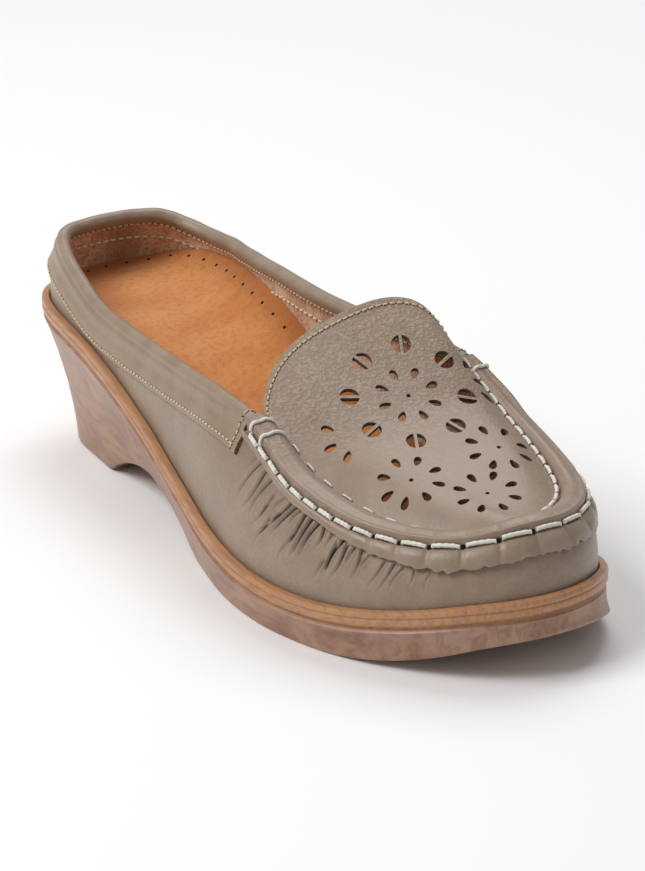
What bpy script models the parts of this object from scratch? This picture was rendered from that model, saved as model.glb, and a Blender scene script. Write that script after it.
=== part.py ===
# Right moccasin clog: a closed-toe slip-on on a moulded wedge sole, open behind the instep.
#
# The shoe stands on the plane z = 0 with its toe towards -Y and its lateral side towards -X.
# Every form is worked out in shoe coordinates: u runs forward from the back of the sole's rim,
# v runs towards the lateral side from the sole's middle line, z runs up, all in millimetres.
# The rim of the sole is the driving outline. The side wall of the upper rises from it to one
# top line, and the apron, the heel band and the insole are offset from that same wall.

import math

import bmesh
import bpy
import numpy as np
from mathutils import Vector

MM = 0.001

# Driving sizes, in millimetres.
LENGTH = 236.0            # back of the sole's rim to its tip
BALL_WIDTH = 88.0         # rim's width across the ball
HEEL_HEIGHT = 46.0        # floor to rim at the back of the heel
TIP_HEIGHT = 22.9         # floor to rim at the tip of the toe
BALL_RIM_HEIGHT = 14.3    # floor to rim across the ball
COLLAR_RISE = 16.5        # rim to top line at the back of the heel
INSTEP_HEIGHT = 67.5      # floor to the top of the apron at the throat
TOE_BOX_HEIGHT = 39.0     # floor to the apron at its front

# Sole.
RIM_LEDGE = 2.7           # rim's flat edge, outside the upper
RIM_BAND = 4.0            # plain band under the rim's edge
RIM_ROUND = 0.8
GROOVE_DEPTH = 1.2
GROOVE_HEIGHT = 1.9
TRAY_DEPTH = 3.0
TRAY_CHAMFER = 0.3
WALL_SET_IN = 0.4         # side wall under the groove, inside the rim's edge
HEEL_BACK_RAKE = 10.4     # back of the heel's foot, ahead of the rim
HEEL_BREAST = 48.6        # front edge of the heel's foot
TREAD_START = 125.0       # back edge of the forefoot tread
ARCH_RISE = 9.8
TOE_SPRING = 11.6
BOTTOM_ROUND = 1.0
TREAD_RIM = 5.5
TREAD_DEPTH = 1.1
HEEL_TREAD_DEPTH = 0.9
TREAD_LAND = 1.2          # plain strip between the teeth and the tread field
LUG_LENGTH = 10.0
LUG_ROOT = 0.8            # how far a lug runs up into the sole
HEEL_DROP_LENGTH = 6.0
HEEL_DROP_WIDTH = 3.6
TOOTH_WIDTH = 2.6
TOOTH_LENGTH = 4.2
TOOTH_DEPTH = 1.2
TOOTH_RUN_OUT = 2.0       # how far a tooth's cutter runs out past the tread's edge
TOOTH_INSET = 4.0         # ends of a tooth row inside the foot's outline
CUT_BELOW = 6.0           # how far the tread cutters reach under the floor
FORE_TEETH = 13
HEEL_TEETH = 9

# Upper.
WALL = 1.8
GAP = 0.3
SEAM_STEP = 0.8
STRIP_THICKNESS = 1.3
STRIP_WIDTH = 4.4         # apron's margin over the wall, at the sides
STRIP_TOE_WIDTH = 7.4     # and at the toe
STITCH_SHARE = 0.94       # height of the bead's seam, as a part of the wall's
APRON_THICKNESS = 1.5
BEAD_RISE = 2.3
BEAD_SHOULDER = 0.8       # height of the bead's outer shoulder over the wall's top
STRIP_BULGE = 0.3         # fullness of the cut margin between its edge and the seam
STITCH_SINK = 0.2         # how far the seam pulls the margin in
TAB_FROM_TIP = 84.5       # station, back from the sole's tip, where the heel band gives way to the bead
TAB_GAP = 0.6
BAND_WIDTH = 9.6
BAND_THICKNESS = 1.4
BAND_ABOVE_RIM = 1.0      # least height of the band's lower edge over the sole's rim
BAND_TURN_IN = 3.4
BAND_INSIDE_THICKNESS = 1.0
BAND_ROLL = 1.9           # height of the band's fold over the wall's top
APRON_LENGTH = 76.0       # throat's edge to the bead at the toe, on the apron's middle line
APRON_FROM_TIP = 28.0     # sole's tip to the front of that line
THROAT_SIDE = -3.0        # side place of the throat's point

# Insole.
INSOLE_CLEARANCE = 0.4
INSOLE_BELOW_BAND = 0.8
INSOLE_DISH = 2.6         # how sharply the footbed turns up at its edges

# Perforations.
BEAN_HOLE = 5.4           # round hole that a bar crosses
BEAN_BAR = 0.9
BEAN_RING = 15.9          # radius of the ring of round holes
BEAN_TURN = 25.0          # degrees from the toe's way to the first of them
PETAL_LENGTH = 3.6
PETAL_WIDTH = 2.2
FLOWER_RADIUS = 7.3
PETALS = 8
CUTTER_RUN_OUT = 15.0     # how far the cutters run past the apron, above and below

# Rim of the sole: share of LENGTH, lateral and medial side as shares of half BALL_WIDTH.
RIM_SIDES = (
    # along, lateral, medial
    (0.000, 0.000, 0.000),
    (0.010, 0.368, -0.359),
    (0.030, 0.545, -0.532),
    (0.060, 0.648, -0.636),
    (0.100, 0.707, -0.695),
    (0.150, 0.743, -0.707),
    (0.200, 0.773, -0.657),
    (0.300, 0.818, -0.589),
    (0.400, 0.852, -0.584),
    (0.500, 0.918, -0.682),
    (0.600, 1.005, -0.848),
    (0.650, 1.030, -0.916),
    (0.700, 1.027, -0.952),
    (0.750, 0.991, -0.961),
    (0.800, 0.920, -0.952),
    (0.850, 0.814, -0.923),
    (0.900, 0.668, -0.855),
    (0.940, 0.507, -0.736),
    (0.970, 0.332, -0.580),
    (0.990, 0.141, -0.407),
    (1.000, -0.136, -0.136),
)

# Height of the rim: share of LENGTH, then blend from BALL_RIM_HEIGHT to the end's own height.
RIM_BACK = (
    # along, share of the way from the ball's height to the heel's
    (0.00, 1.016), (0.03, 1.003), (0.06, 0.990), (0.10, 0.970), (0.15, 0.946), (0.20, 0.918),
    (0.30, 0.782), (0.40, 0.536), (0.50, 0.293), (0.60, 0.123), (0.65, 0.066), (0.70, 0.022),
    (0.75, 0.000),
)
RIM_FRONT = (
    # along, share of the way from the ball's height to the tip's
    (0.75, 0.000), (0.80, 0.012), (0.85, 0.128), (0.90, 0.372), (0.94, 0.628), (0.97, 0.849),
    (1.00, 1.000),
)

# Foot of the sole: share of its own length, lateral and medial as shares of half BALL_WIDTH.
FOOT_SIDES = (
    # along, lateral, medial
    (0.000, 0.023, 0.023),
    (0.010, 0.323, -0.268),
    (0.030, 0.445, -0.405),
    (0.060, 0.507, -0.484),
    (0.100, 0.532, -0.527),
    (0.150, 0.555, -0.493),
    (0.200, 0.580, -0.457),
    (0.300, 0.634, -0.439),
    (0.400, 0.709, -0.493),
    (0.500, 0.830, -0.648),
    (0.600, 0.941, -0.839),
    (0.650, 0.964, -0.907),
    (0.700, 0.957, -0.941),
    (0.750, 0.914, -0.952),
    (0.800, 0.839, -0.948),
    (0.850, 0.727, -0.923),
    (0.900, 0.575, -0.857),
    (0.940, 0.423, -0.745),
    (0.970, 0.266, -0.598),
    (0.990, 0.086, -0.432),
    (1.000, -0.136, -0.136),
)

# Underside: share of the way from breast to tread, share of ARCH_RISE.
ARCH = ((0.00, 0.00), (0.02, 0.16), (0.09, 0.46), (0.22, 0.83), (0.38, 1.00), (0.55, 0.82),
        (0.75, 0.40), (0.90, 0.12), (1.00, 0.00))
# Underside: share of the way from the flat's end to the tip, share of TOE_SPRING.
FLAT_END = 193.0
SPRING = ((0.00, 0.00), (0.21, 0.08), (0.48, 0.29), (0.69, 0.56), (0.84, 0.80), (1.00, 1.00))

# Top line of the side wall, by rim station: share of LENGTH, height above the floor as a share
# of the heel's top line, and inset from the rim in shares of BALL_WIDTH.
TOP_LATERAL = (
    # along, height, inset
    (0.000, 0.984, 0.116),
    (0.030, 0.984, 0.110),
    (0.060, 0.976, 0.094),
    (0.120, 0.950, 0.070),
    (0.170, 0.906, 0.059),
    (0.230, 0.857, 0.058),
    (0.320, 0.840, 0.060),
    (0.410, 0.834, 0.066),
    (0.500, 0.843, 0.080),
    (0.570, 0.846, 0.102),
    (0.640, 0.816, 0.126),
    (0.690, 0.750, 0.126),
    (0.740, 0.665, 0.118),
    (0.790, 0.608, 0.114),
    (0.840, 0.565, 0.112),
    (0.890, 0.546, 0.112),
    (0.940, 0.550, 0.112),
    (0.970, 0.568, 0.114),
    (1.000, 0.610, 0.116),
)
TOP_MEDIAL = (
    # along, height, inset
    (0.000, 0.984, 0.116),
    (0.030, 0.960, 0.098),
    (0.060, 0.934, 0.078),
    (0.120, 0.902, 0.060),
    (0.180, 0.902, 0.052),
    (0.240, 0.910, 0.050),
    (0.310, 0.932, 0.050),
    (0.400, 0.944, 0.054),
    (0.480, 0.934, 0.060),
    (0.560, 0.925, 0.070),
    (0.640, 0.880, 0.080),
    (0.690, 0.800, 0.078),
    (0.740, 0.722, 0.074),
    (0.800, 0.662, 0.074),
    (0.850, 0.620, 0.076),
    (0.900, 0.592, 0.082),
    (0.950, 0.592, 0.096),
    (0.980, 0.598, 0.108),
    (1.000, 0.610, 0.116),
)

# Middle of the apron: share of the way from throat to front, share of the fall of its height.
APRON_SPINE = ((0.00, 0.00), (0.15, 0.20), (0.30, 0.40), (0.50, 0.63), (0.70, 0.82), (0.85, 0.93),
               (1.00, 1.00))

# How the apron rises from its bead to the spine: fullness, bow of the throat's edge to the rear,
# bow to the side, and height of the instep's ridge over the straight rise, the last three in mm.
APRON_CROWN = (
    # fullness, rear, side, ridge
    (1.9, 22.0, 0.0, 0.0),
    (12.0, 22.0, -6.0, 4.5),
)
APRON_TOE_CROWN = 2.4
APRON_ROWS = 7

# Insole's upper face above the rim: share of LENGTH, middle, lateral edge, medial edge, in mm.
INSOLE_FACE = (
    # along, middle, lateral, medial
    (0.00, 1.6, 2.2, 2.2),
    (0.03, 1.2, 3.4, 4.6),
    (0.07, 1.0, 4.4, 7.0),
    (0.13, 1.0, 4.8, 8.6),
    (0.23, 1.6, 5.0, 11.4),
    (0.32, 2.2, 5.0, 12.6),
    (0.40, 2.6, 5.0, 11.4),
    (0.50, 2.6, 4.4, 8.0),
    (0.60, 2.2, 3.2, 4.0),
    (0.75, 1.8, 2.2, 2.2),
    (1.00, 1.2, 1.4, 1.4),
)

# Bead's outer section, from the wall's middle to the valley beside it.
BEAD_SECTION = (
    # share of the bead's width, mm inward, share of BEAD_RISE
    (0.0, -0.6, 1.00),
    (0.0, 1.2, 1.04),
    (1.0, -1.6, 0.70),
    (1.0, 0.0, 0.30),
)

# Heel band's section over the wall: share of the way from its lower edge to the wall's top, extra
# thickness there in mm.
BAND_SECTION = (
    # share, extra
    (0.00, 0.0),
    (0.33, 0.2),
    (0.67, 0.3),
    (1.00, 0.3),
)

# Width of the bead, from the wall's middle in to the valley: share of LENGTH, then mm.
BEAD_WIDTHS = (
    # along, lateral, medial
    (0.64, 4.2, 3.2),
    (0.74, 6.0, 3.4),
    (0.85, 6.6, 4.2),
    (1.00, 5.6, 5.6),
)

# Flowers on the apron: share of the way from the throat to the apron's front, side place as a
# share of half BALL_WIDTH, and the part of the flower that is there. The ring of round holes goes
# round the first flower.
FLOWERS = (
    # along, side, part
    (0.416, -0.168, "whole"),
    (0.763, 0.191, "whole"),
    (0.958, -0.127, "whole"),
    (0.774, -0.418, "whole"),
    (0.474, 0.282, "lateral"),
    (0.437, -0.523, "medial"),
)
# Petals that are cut, counted from the toe's way round by the lateral side.
FLOWER_PARTS = {
    "whole": tuple(range(PETALS)),
    "lateral": (1, 2, 3),
    "medial": (5, 6, 7),
}

# Drop lugs of the forefoot tread: place along the shoe, side place and width in mm, and the side
# that the point is on.
LUGS = (
    # along, side, width, point
    (138.0, -13.0, 4.6, -1),
    (150.0, -13.5, 5.2, -1),
    (162.0, -15.0, 6.4, -1),
    (176.0, -16.0, 8.0, -1),
    (194.0, -16.5, 10.0, -1),
    (137.0, 17.0, 3.8, 1),
    (147.0, 16.0, 4.2, 1),
    (159.0, 13.5, 4.8, 1),
    (172.0, 11.0, 6.2, 1),
    (190.5, 8.5, 7.2, 1),
)
HEEL_DROPS = (
    # along, side
    (22.0, -7.0),
    (22.0, 8.0),
    (35.0, -8.0),
    (35.0, 9.0),
)

OUTLINE_STEPS = 27
LUG_POINTS = 10
FIELD_STEPS = 14
INSOLE_COLUMNS = (-1.0, -0.82, -0.48, 0.0, 0.48, 0.82, 1.0)
UPPER_ROWS = (0.0, 0.10, 0.19, 0.33, 0.48)      # lower rows of the wall, as shares of its height
SEAM_LOW = 0.62           # medial seam's foot and head, shares of LENGTH
SEAM_HIGH = 0.73


def turn_share(along):
    """Share of a half turn that a place along the shoe stands for, so round ends stay smooth."""
    return math.acos(1 - 2 * min(max(along, 0.0), 1.0)) / math.pi


def along_share(turn):
    return (1 - math.cos(math.pi * turn)) / 2


def smooth_row(points, key=lambda x: x):
    """Return a smooth curve through (x, y) pairs."""
    xs = np.array([key(p[0]) for p in points], float)
    ys = np.array([p[1] for p in points], float)
    slopes = np.gradient(ys, xs)

    def value(x):
        x = min(max(key(x), xs[0]), xs[-1])
        k = min(max(int(np.searchsorted(xs, x)) - 1, 0), len(xs) - 2)
        span = xs[k + 1] - xs[k]
        t = (x - xs[k]) / span
        ends = ys[k] * (1 + 2 * t) * (1 - t) ** 2 + ys[k + 1] * t * t * (3 - 2 * t)
        return ends + span * t * (1 - t) * (slopes[k] * (1 - t) - slopes[k + 1] * t)

    return value


HALF_WIDTH = BALL_WIDTH / 2
TAB_START = LENGTH - TAB_FROM_TIP
APRON_FRONT = LENGTH - APRON_FROM_TIP
THROAT = APRON_FRONT - APRON_LENGTH
TOP_HEIGHT = HEEL_HEIGHT + COLLAR_RISE
RIM_LATERAL = smooth_row([(r[0], r[1] * HALF_WIDTH) for r in RIM_SIDES], turn_share)
RIM_MEDIAL = smooth_row([(r[0], r[2] * HALF_WIDTH) for r in RIM_SIDES], turn_share)
FOOT_LATERAL = smooth_row([(r[0], r[1] * HALF_WIDTH) for r in FOOT_SIDES], turn_share)
FOOT_MEDIAL = smooth_row([(r[0], r[2] * HALF_WIDTH) for r in FOOT_SIDES], turn_share)
BACK_BLEND = smooth_row(RIM_BACK)
FRONT_BLEND = smooth_row(RIM_FRONT)
ARCH_ROW = smooth_row(ARCH)
SPRING_ROW = smooth_row(SPRING)
TOP_ROWS = (
    (smooth_row([(r[0], r[1] * TOP_HEIGHT) for r in TOP_LATERAL]),
     smooth_row([(r[0], r[2] * BALL_WIDTH) for r in TOP_LATERAL])),
    (smooth_row([(r[0], r[1] * TOP_HEIGHT) for r in TOP_MEDIAL]),
     smooth_row([(r[0], r[2] * BALL_WIDTH) for r in TOP_MEDIAL])),
)
SPINE_ROW = smooth_row(APRON_SPINE)
BEAD_ROWS = [smooth_row([(r[0], r[k]) for r in BEAD_WIDTHS]) for k in (1, 2)]
INSOLE_ROWS = [smooth_row([(r[0], r[k]) for r in INSOLE_FACE]) for k in (1, 2, 3)]


def rim_height(u):
    """Height of the sole's rim above the floor."""
    along = u / LENGTH
    if along < RIM_FRONT[0][0]:
        return BALL_RIM_HEIGHT + BACK_BLEND(along) * (HEEL_HEIGHT - BALL_RIM_HEIGHT)
    return BALL_RIM_HEIGHT + FRONT_BLEND(along) * (TIP_HEIGHT - BALL_RIM_HEIGHT)


def underside(u):
    """Height of the sole's underside: heel, arch, flat tread and toe spring."""
    if u <= HEEL_BREAST:
        return 0.0
    if u < TREAD_START:
        return ARCH_ROW((u - HEEL_BREAST) / (TREAD_START - HEEL_BREAST)) * ARCH_RISE
    if u <= FLAT_END:
        return 0.0
    return SPRING_ROW((u - FLAT_END) / (LENGTH - FLAT_END)) * TOE_SPRING


def outline(turn, side, foot=False):
    """Point (u, v) of the rim, or of the sole's foot, at a turn from 0 at the back to 1 at the tip."""
    along = along_share(turn)
    start = HEEL_BACK_RAKE if foot else 0.0
    lateral, medial = (FOOT_LATERAL, FOOT_MEDIAL) if foot else (RIM_LATERAL, RIM_MEDIAL)
    row = lateral if side > 0 else medial
    return np.array([start + along * (LENGTH - start), row(along)])


def outward(turn, side, foot=False):
    """Unit vector (u, v) out of the outline."""
    step = 0.012
    if turn < step:
        ahead = outline(turn + step, side, foot)
        behind = outline(abs(turn - step), -side, foot)
    elif turn > 1 - step:
        ahead = outline(2 - turn - step if turn + step > 1 else turn + step,
                        -side if turn + step > 1 else side, foot)
        behind = outline(turn - step, side, foot)
    else:
        ahead = outline(turn + step, side, foot)
        behind = outline(turn - step, side, foot)
    tangent = (ahead - behind) * side
    tangent /= np.linalg.norm(tangent)
    return np.array([-tangent[1], tangent[0]])


def edge_point(turn, side, out, z, foot=False):
    """Shoe point that stands a distance out of the outline, at a height."""
    uv = outline(turn, side, foot) + outward(turn, side, foot) * out
    return np.array([uv[0], uv[1], z])


def side_row(side):
    return TOP_ROWS[0] if side > 0 else TOP_ROWS[1]


def wall_profile(turn, side, t):
    """Out and z of the side wall's outer face, from its foot in the sole, t = 0, to its top, t = 1."""
    along = along_share(turn)
    height, inset = side_row(side)
    foot_z = rim_height(along * LENGTH) - TRAY_DEPTH + GAP
    top_z = height(along)
    top_in = inset(along)
    fullness = 1.2 + 1.6 * math.sin(math.pi * min(along, 1.0) ** 2.2)
    lean = (top_in - RIM_LEDGE) * t ** 1.9 - fullness * math.sin(math.pi * t) * t
    return -(RIM_LEDGE + lean), foot_z + (top_z - foot_z) * t


def wall_share(turn, side, z):
    """Share t of the wall's height that a height above the floor stands for."""
    foot_z = wall_profile(turn, side, 0.0)[1]
    top_z = wall_profile(turn, side, 1.0)[1]
    return (z - foot_z) / (top_z - foot_z)


def seam_step(turn, side, t):
    """Thickness that the quarter's overlap adds behind the medial seam."""
    if side > 0:
        return 0.0
    seam = SEAM_LOW + (SEAM_HIGH - SEAM_LOW) * t ** 0.8
    across = (seam - along_share(turn)) * LENGTH / 1.6 + 0.5
    above = wall_profile(turn, side, t)[1] - rim_height(along_share(turn) * LENGTH)
    rise = min(max((above - 1.4) / 1.2, 0.0), 1.0)
    return SEAM_STEP * min(max(across, 0.0), 1.0) * rise


def wall_point(turn, side, t, off=0.0):
    """Shoe point on the side wall, off its outer face along the wall's own normal."""
    out_a, z_a = wall_profile(turn, side, max(t - 0.01, 0.0))
    out_b, z_b = wall_profile(turn, side, min(t + 0.01, 1.0))
    run = math.hypot(out_b - out_a, z_b - z_a)
    out, z = wall_profile(turn, side, t)
    out += off * (z_b - z_a) / run
    z -= off * (out_b - out_a) / run
    return edge_point(turn, side, out, z)


def width_share(turn, side, width):
    """Share t of the wall that lies a width below its top line, measured along the wall."""
    t = 1.0
    while width > 0 and t > 0.2:
        width -= float(np.linalg.norm(wall_point(turn, side, t) - wall_point(turn, side, t - 0.02)))
        t -= 0.02
    return t - 0.02 * width / 0.8 if width < 0 else t


def strip_share(turn, side):
    """Share t of the wall where the apron's cut margin ends."""
    toe = min(max((along_share(turn) - 0.80) / 0.15, 0.0), 1.0)
    width = STRIP_WIDTH + (STRIP_TOE_WIDTH - STRIP_WIDTH) * toe
    return width_share(turn, side, width)


def world(point):
    """World coordinates, in metres, of a shoe point."""
    return Vector((-(point[1] - MIDDLE) * MM, (LENGTH / 2 - point[0]) * MM, point[2] * MM))


def turns(first=0.0, last=1.0, steps=OUTLINE_STEPS, extra=()):
    """Even turns from first to last, with extra ones between them."""
    values = [first + (last - first) * k / steps for k in range(steps + 1)]
    for value in extra:
        if first < value < last:
            values = [v for v in values if abs(v - value) > 0.004 or v in (first, last)]
            values.append(value)
    return sorted(values)


def both_sides(values):
    """Stations (turn, side) right round the outline, from the back by the lateral side."""
    around = [(t, 1) for t in values]
    return around + [(t, -1) for t in reversed(values[1:-1])]


BREAST_TURN = turn_share((HEEL_BREAST - HEEL_BACK_RAKE) / (LENGTH - HEEL_BACK_RAKE))
TAB_TURN = turn_share(TAB_START / LENGTH)
BAND_TURN = turn_share((TAB_START - TAB_GAP) / LENGTH)
SEAM_TURNS = [turn_share(SEAM_LOW + (SEAM_HIGH - SEAM_LOW) * k / 4) for k in range(5)]
SHARED_TURNS = turns(extra=[*SEAM_TURNS, BREAST_TURN, BREAST_TURN + 0.008, BREAST_TURN + 0.024])
SHARED_TURNS = sorted([t for t in SHARED_TURNS if abs(t - TAB_TURN) > 0.006] + [BAND_TURN, TAB_TURN])
MIDDLE = (max(outline(k / 60, 1)[1] for k in range(61)) + min(outline(k / 60, -1)[1] for k in range(61))) / 2


def add_object(name, mesh_data, colour, roughness, cutter=False):
    """Make an object of a bmesh, with its own material."""
    bmesh.ops.remove_doubles(mesh_data, verts=mesh_data.verts, dist=1e-6)
    bmesh.ops.dissolve_degenerate(mesh_data, edges=mesh_data.edges, dist=1e-7)
    bmesh.ops.recalc_face_normals(mesh_data, faces=mesh_data.faces)
    mesh = bpy.data.meshes.new(name)
    mesh_data.to_mesh(mesh)
    mesh_data.free()
    item = bpy.data.objects.new(name, mesh)
    bpy.context.scene.collection.objects.link(item)
    if cutter:
        item.hide_render = True
        item.display_type = 'WIRE'
        return item
    material = bpy.data.materials.new(name)
    material.use_nodes = True
    shader = material.node_tree.nodes["Principled BSDF"]
    shader.inputs["Base Color"].default_value = (*colour, 1.0)
    shader.inputs["Roughness"].default_value = roughness
    mesh.materials.append(material)
    mesh.shade_smooth()
    mesh.set_sharp_from_angle(angle=math.radians(40))
    return item


def grid_faces(data, rows, closed):
    """Bridge rows of vertices with faces."""
    count = len(rows[0])
    for low, high in zip(rows, rows[1:]):
        for k in range(count if closed else count - 1):
            m = (k + 1) % count
            corners = []
            for vertex in (low[k], low[m], high[m], high[k]):
                if vertex not in corners:
                    corners.append(vertex)
            if len(corners) > 2:
                data.faces.new(corners)


def vertices(data, points):
    return [data.verts.new(world(p)) for p in points]


def ladder_face(data, ring):
    """Close a ring of an even count with rungs between its two sides."""
    count = len(ring)
    for k in range(count // 2):
        corners = [ring[k], ring[k + 1], ring[(count - k - 1) % count], ring[(count - k) % count]]
        corners = [c for i, c in enumerate(corners) if c not in corners[:i]]
        data.faces.new(corners)


def shell(rows_out, rows_in, closed):
    """Closed body between an outer and an inner sheet with the same rows and stations."""
    data = bmesh.new()
    outer = [vertices(data, row) for row in rows_out]
    inner = [vertices(data, row) for row in rows_in]
    grid_faces(data, outer, closed)
    grid_faces(data, inner, closed)
    grid_faces(data, [outer[0], inner[0]], closed)
    grid_faces(data, [outer[-1], inner[-1]], closed)
    if not closed:
        for end in (0, -1):
            grid_faces(data, [[row[end] for row in outer], [row[end] for row in inner]], False)
    return data


def prism(loops_low, loops_high):
    """Closed prism for each pair of loops, all in one bmesh."""
    data = bmesh.new()
    for low, high in zip(loops_low, loops_high):
        bottom = vertices(data, low)
        top = vertices(data, high)
        grid_faces(data, [bottom, top], True)
        data.faces.new(bottom)
        data.faces.new(top)
    return data


def cut(item, cutter, operation='DIFFERENCE'):
    """Apply a Boolean by another object, and remove that object."""
    modifier = item.modifiers.new(cutter.name, 'BOOLEAN')
    modifier.operation = operation
    modifier.solver = 'EXACT'
    modifier.object = cutter
    bpy.context.view_layer.update()
    solid = bpy.data.meshes.new_from_object(item.evaluated_get(bpy.context.evaluated_depsgraph_get()))
    item.modifiers.clear()
    item.data = solid
    bpy.data.objects.remove(cutter)


def drop_loop(u, v, length, width, tip, z_at):
    """Drop outline with its point towards the side that tip gives."""
    loop = []
    for k in range(LUG_POINTS):
        angle = 2 * math.pi * k / LUG_POINTS
        reach = math.cos(angle)
        narrow = 1 - 0.45 * max(reach, 0.0)
        place = (u + math.sin(angle) * narrow * width / 2, v + tip * reach * length / 2)
        loop.append((*place, z_at(place[0])))
    return loop


def make_outsole():
    """Moulded sole: tray for the upper, rim with its groove, side wall, heel, arch and tread."""
    stations = both_sides(SHARED_TURNS)

    def rim_ring(out, drop):
        return [edge_point(t, s, out, rim_height(along_share(t) * LENGTH) - drop) for t, s in stations]

    def foot_ring(out, rise):
        return [edge_point(t, s, out, 0, True) + (0, 0, underside(outline(t, s, True)[0]) + rise)
                for t, s in stations]

    def wall_ring(share, hollow):
        high = rim_ring(-WALL_SET_IN, RIM_BAND + GROOVE_HEIGHT)
        low = foot_ring(0.0, BOTTOM_ROUND)
        ring = []
        for (t, s), a, b in zip(stations, high, low):
            back = max(0.0, 1 - along_share(t) / 0.35)
            pull = outward(t, s) * -hollow * (0.25 + 0.75 * back)
            ring.append(a + (b - a) * share + (pull[0], pull[1], 0))
        return ring

    rings = [
        rim_ring(GAP - RIM_LEDGE, TRAY_DEPTH),
        rim_ring(GAP - RIM_LEDGE, TRAY_CHAMFER),
        rim_ring(GAP - RIM_LEDGE + TRAY_CHAMFER, 0.0),
        rim_ring(-RIM_ROUND, 0.0),
        rim_ring(0.0, RIM_ROUND),
        rim_ring(0.0, RIM_BAND),
        rim_ring(-GROOVE_DEPTH, RIM_BAND + GROOVE_HEIGHT * 0.35),
        rim_ring(-WALL_SET_IN, RIM_BAND + GROOVE_HEIGHT),
        wall_ring(0.25, 1.2),
        wall_ring(0.55, 1.6),
        foot_ring(0.0, BOTTOM_ROUND),
        foot_ring(-BOTTOM_ROUND, 0.0),
    ]
    data = bmesh.new()
    rows = [vertices(data, ring) for ring in rings]
    grid_faces(data, rows, True)
    ladder_face(data, rows[0])
    ladder_face(data, rows[-1])
    sole = add_object("outsole", data, (0.52, 0.27, 0.12), 0.55)
    cut_treads(sole)
    return sole


def field_loops(start, end, depth):
    """Lateral and medial edge of a tread field inside the foot's outline, and its depth."""
    first = turn_share(max((start - HEEL_BACK_RAKE) / (LENGTH - HEEL_BACK_RAKE), 0.0))
    last = turn_share(min((end - HEEL_BACK_RAKE) / (LENGTH - HEEL_BACK_RAKE), 1.0))
    values = turns(first, last, FIELD_STEPS)
    lateral = [edge_point(t, 1, -TREAD_RIM, 0, True) for t in values]
    medial = [edge_point(t, -1, -TREAD_RIM, 0, True) for t in values]
    for row in (lateral, medial):
        for point in row:
            point[0] = min(max(point[0], start), end)
    return lateral, medial, depth


def field_cutter(name, fields):
    """Cutter for sunk tread fields, closed by rungs because the tread curves up at the toe."""
    data = bmesh.new()
    for lateral, medial, depth in fields:
        rings = []
        for below in (True, False):
            loop = lateral + medial[::-1]
            rings.append(vertices(data, [(p[0], p[1], -CUT_BELOW if below else underside(p[0]) + depth)
                                         for p in loop]))
        grid_faces(data, rings, True)
        count = len(rings[0])
        for ring in rings:
            for k in range(count // 2 - 1):
                data.faces.new([ring[k], ring[k + 1], ring[count - k - 2], ring[count - k - 1]])
    return add_object(name, data, (0, 0, 0), 1.0, cutter=True)


def cut_treads(sole):
    """Sink the tread fields, raise the drop lugs in them and notch both tooth rows."""
    fields = [
        field_loops(TREAD_START + TOOTH_LENGTH + TREAD_LAND, LENGTH - TREAD_RIM, TREAD_DEPTH),
        field_loops(HEEL_BACK_RAKE + TREAD_RIM, HEEL_BREAST - TOOTH_LENGTH - TREAD_LAND,
                    HEEL_TREAD_DEPTH),
    ]
    cut(sole, field_cutter("tread_fields", fields))
    low = []
    high = []
    for u, v, width, tip in LUGS:
        low.append(drop_loop(u, v, LUG_LENGTH + 0.2 * width, width, tip, underside))
        high.append(drop_loop(u, v, LUG_LENGTH + 0.2 * width, width, tip,
                              lambda x: underside(x) + TREAD_DEPTH + LUG_ROOT))
    for u, v in HEEL_DROPS:
        tip = -1 if v < 0 else 1
        low.append(drop_loop(u, v, HEEL_DROP_LENGTH, HEEL_DROP_WIDTH, tip, underside))
        high.append(drop_loop(u, v, HEEL_DROP_LENGTH, HEEL_DROP_WIDTH, tip,
                              lambda x: underside(x) + HEEL_TREAD_DEPTH + LUG_ROOT))
    cut(sole, add_object("lugs", prism(low, high), (0, 0, 0), 1.0, cutter=True), 'UNION')
    low = []
    high = []
    rows = ((TREAD_START - TOOTH_RUN_OUT, TREAD_START + TOOTH_LENGTH, FORE_TEETH),
            (HEEL_BREAST - TOOTH_LENGTH, HEEL_BREAST + TOOTH_RUN_OUT, HEEL_TEETH))
    for start, end, count in rows:
        middle = (start + end) / 2
        share = turn_share((middle - HEEL_BACK_RAKE) / (LENGTH - HEEL_BACK_RAKE))
        left = outline(share, 1, True)[1] - TOOTH_INSET
        right = outline(share, -1, True)[1] + TOOTH_INSET
        for k in range(count):
            v = right + (left - right) * (k + 0.5) / count
            half = TOOTH_WIDTH / 2
            loop = [(start, v - half), (end, v - half), (end, v + half), (start, v + half)]
            low.append([(*p, -CUT_BELOW) for p in loop])
            high.append([(*p, TOOTH_DEPTH) for p in loop])
    cut(sole, add_object("teeth", prism(low, high), (0, 0, 0), 1.0, cutter=True))


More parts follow.
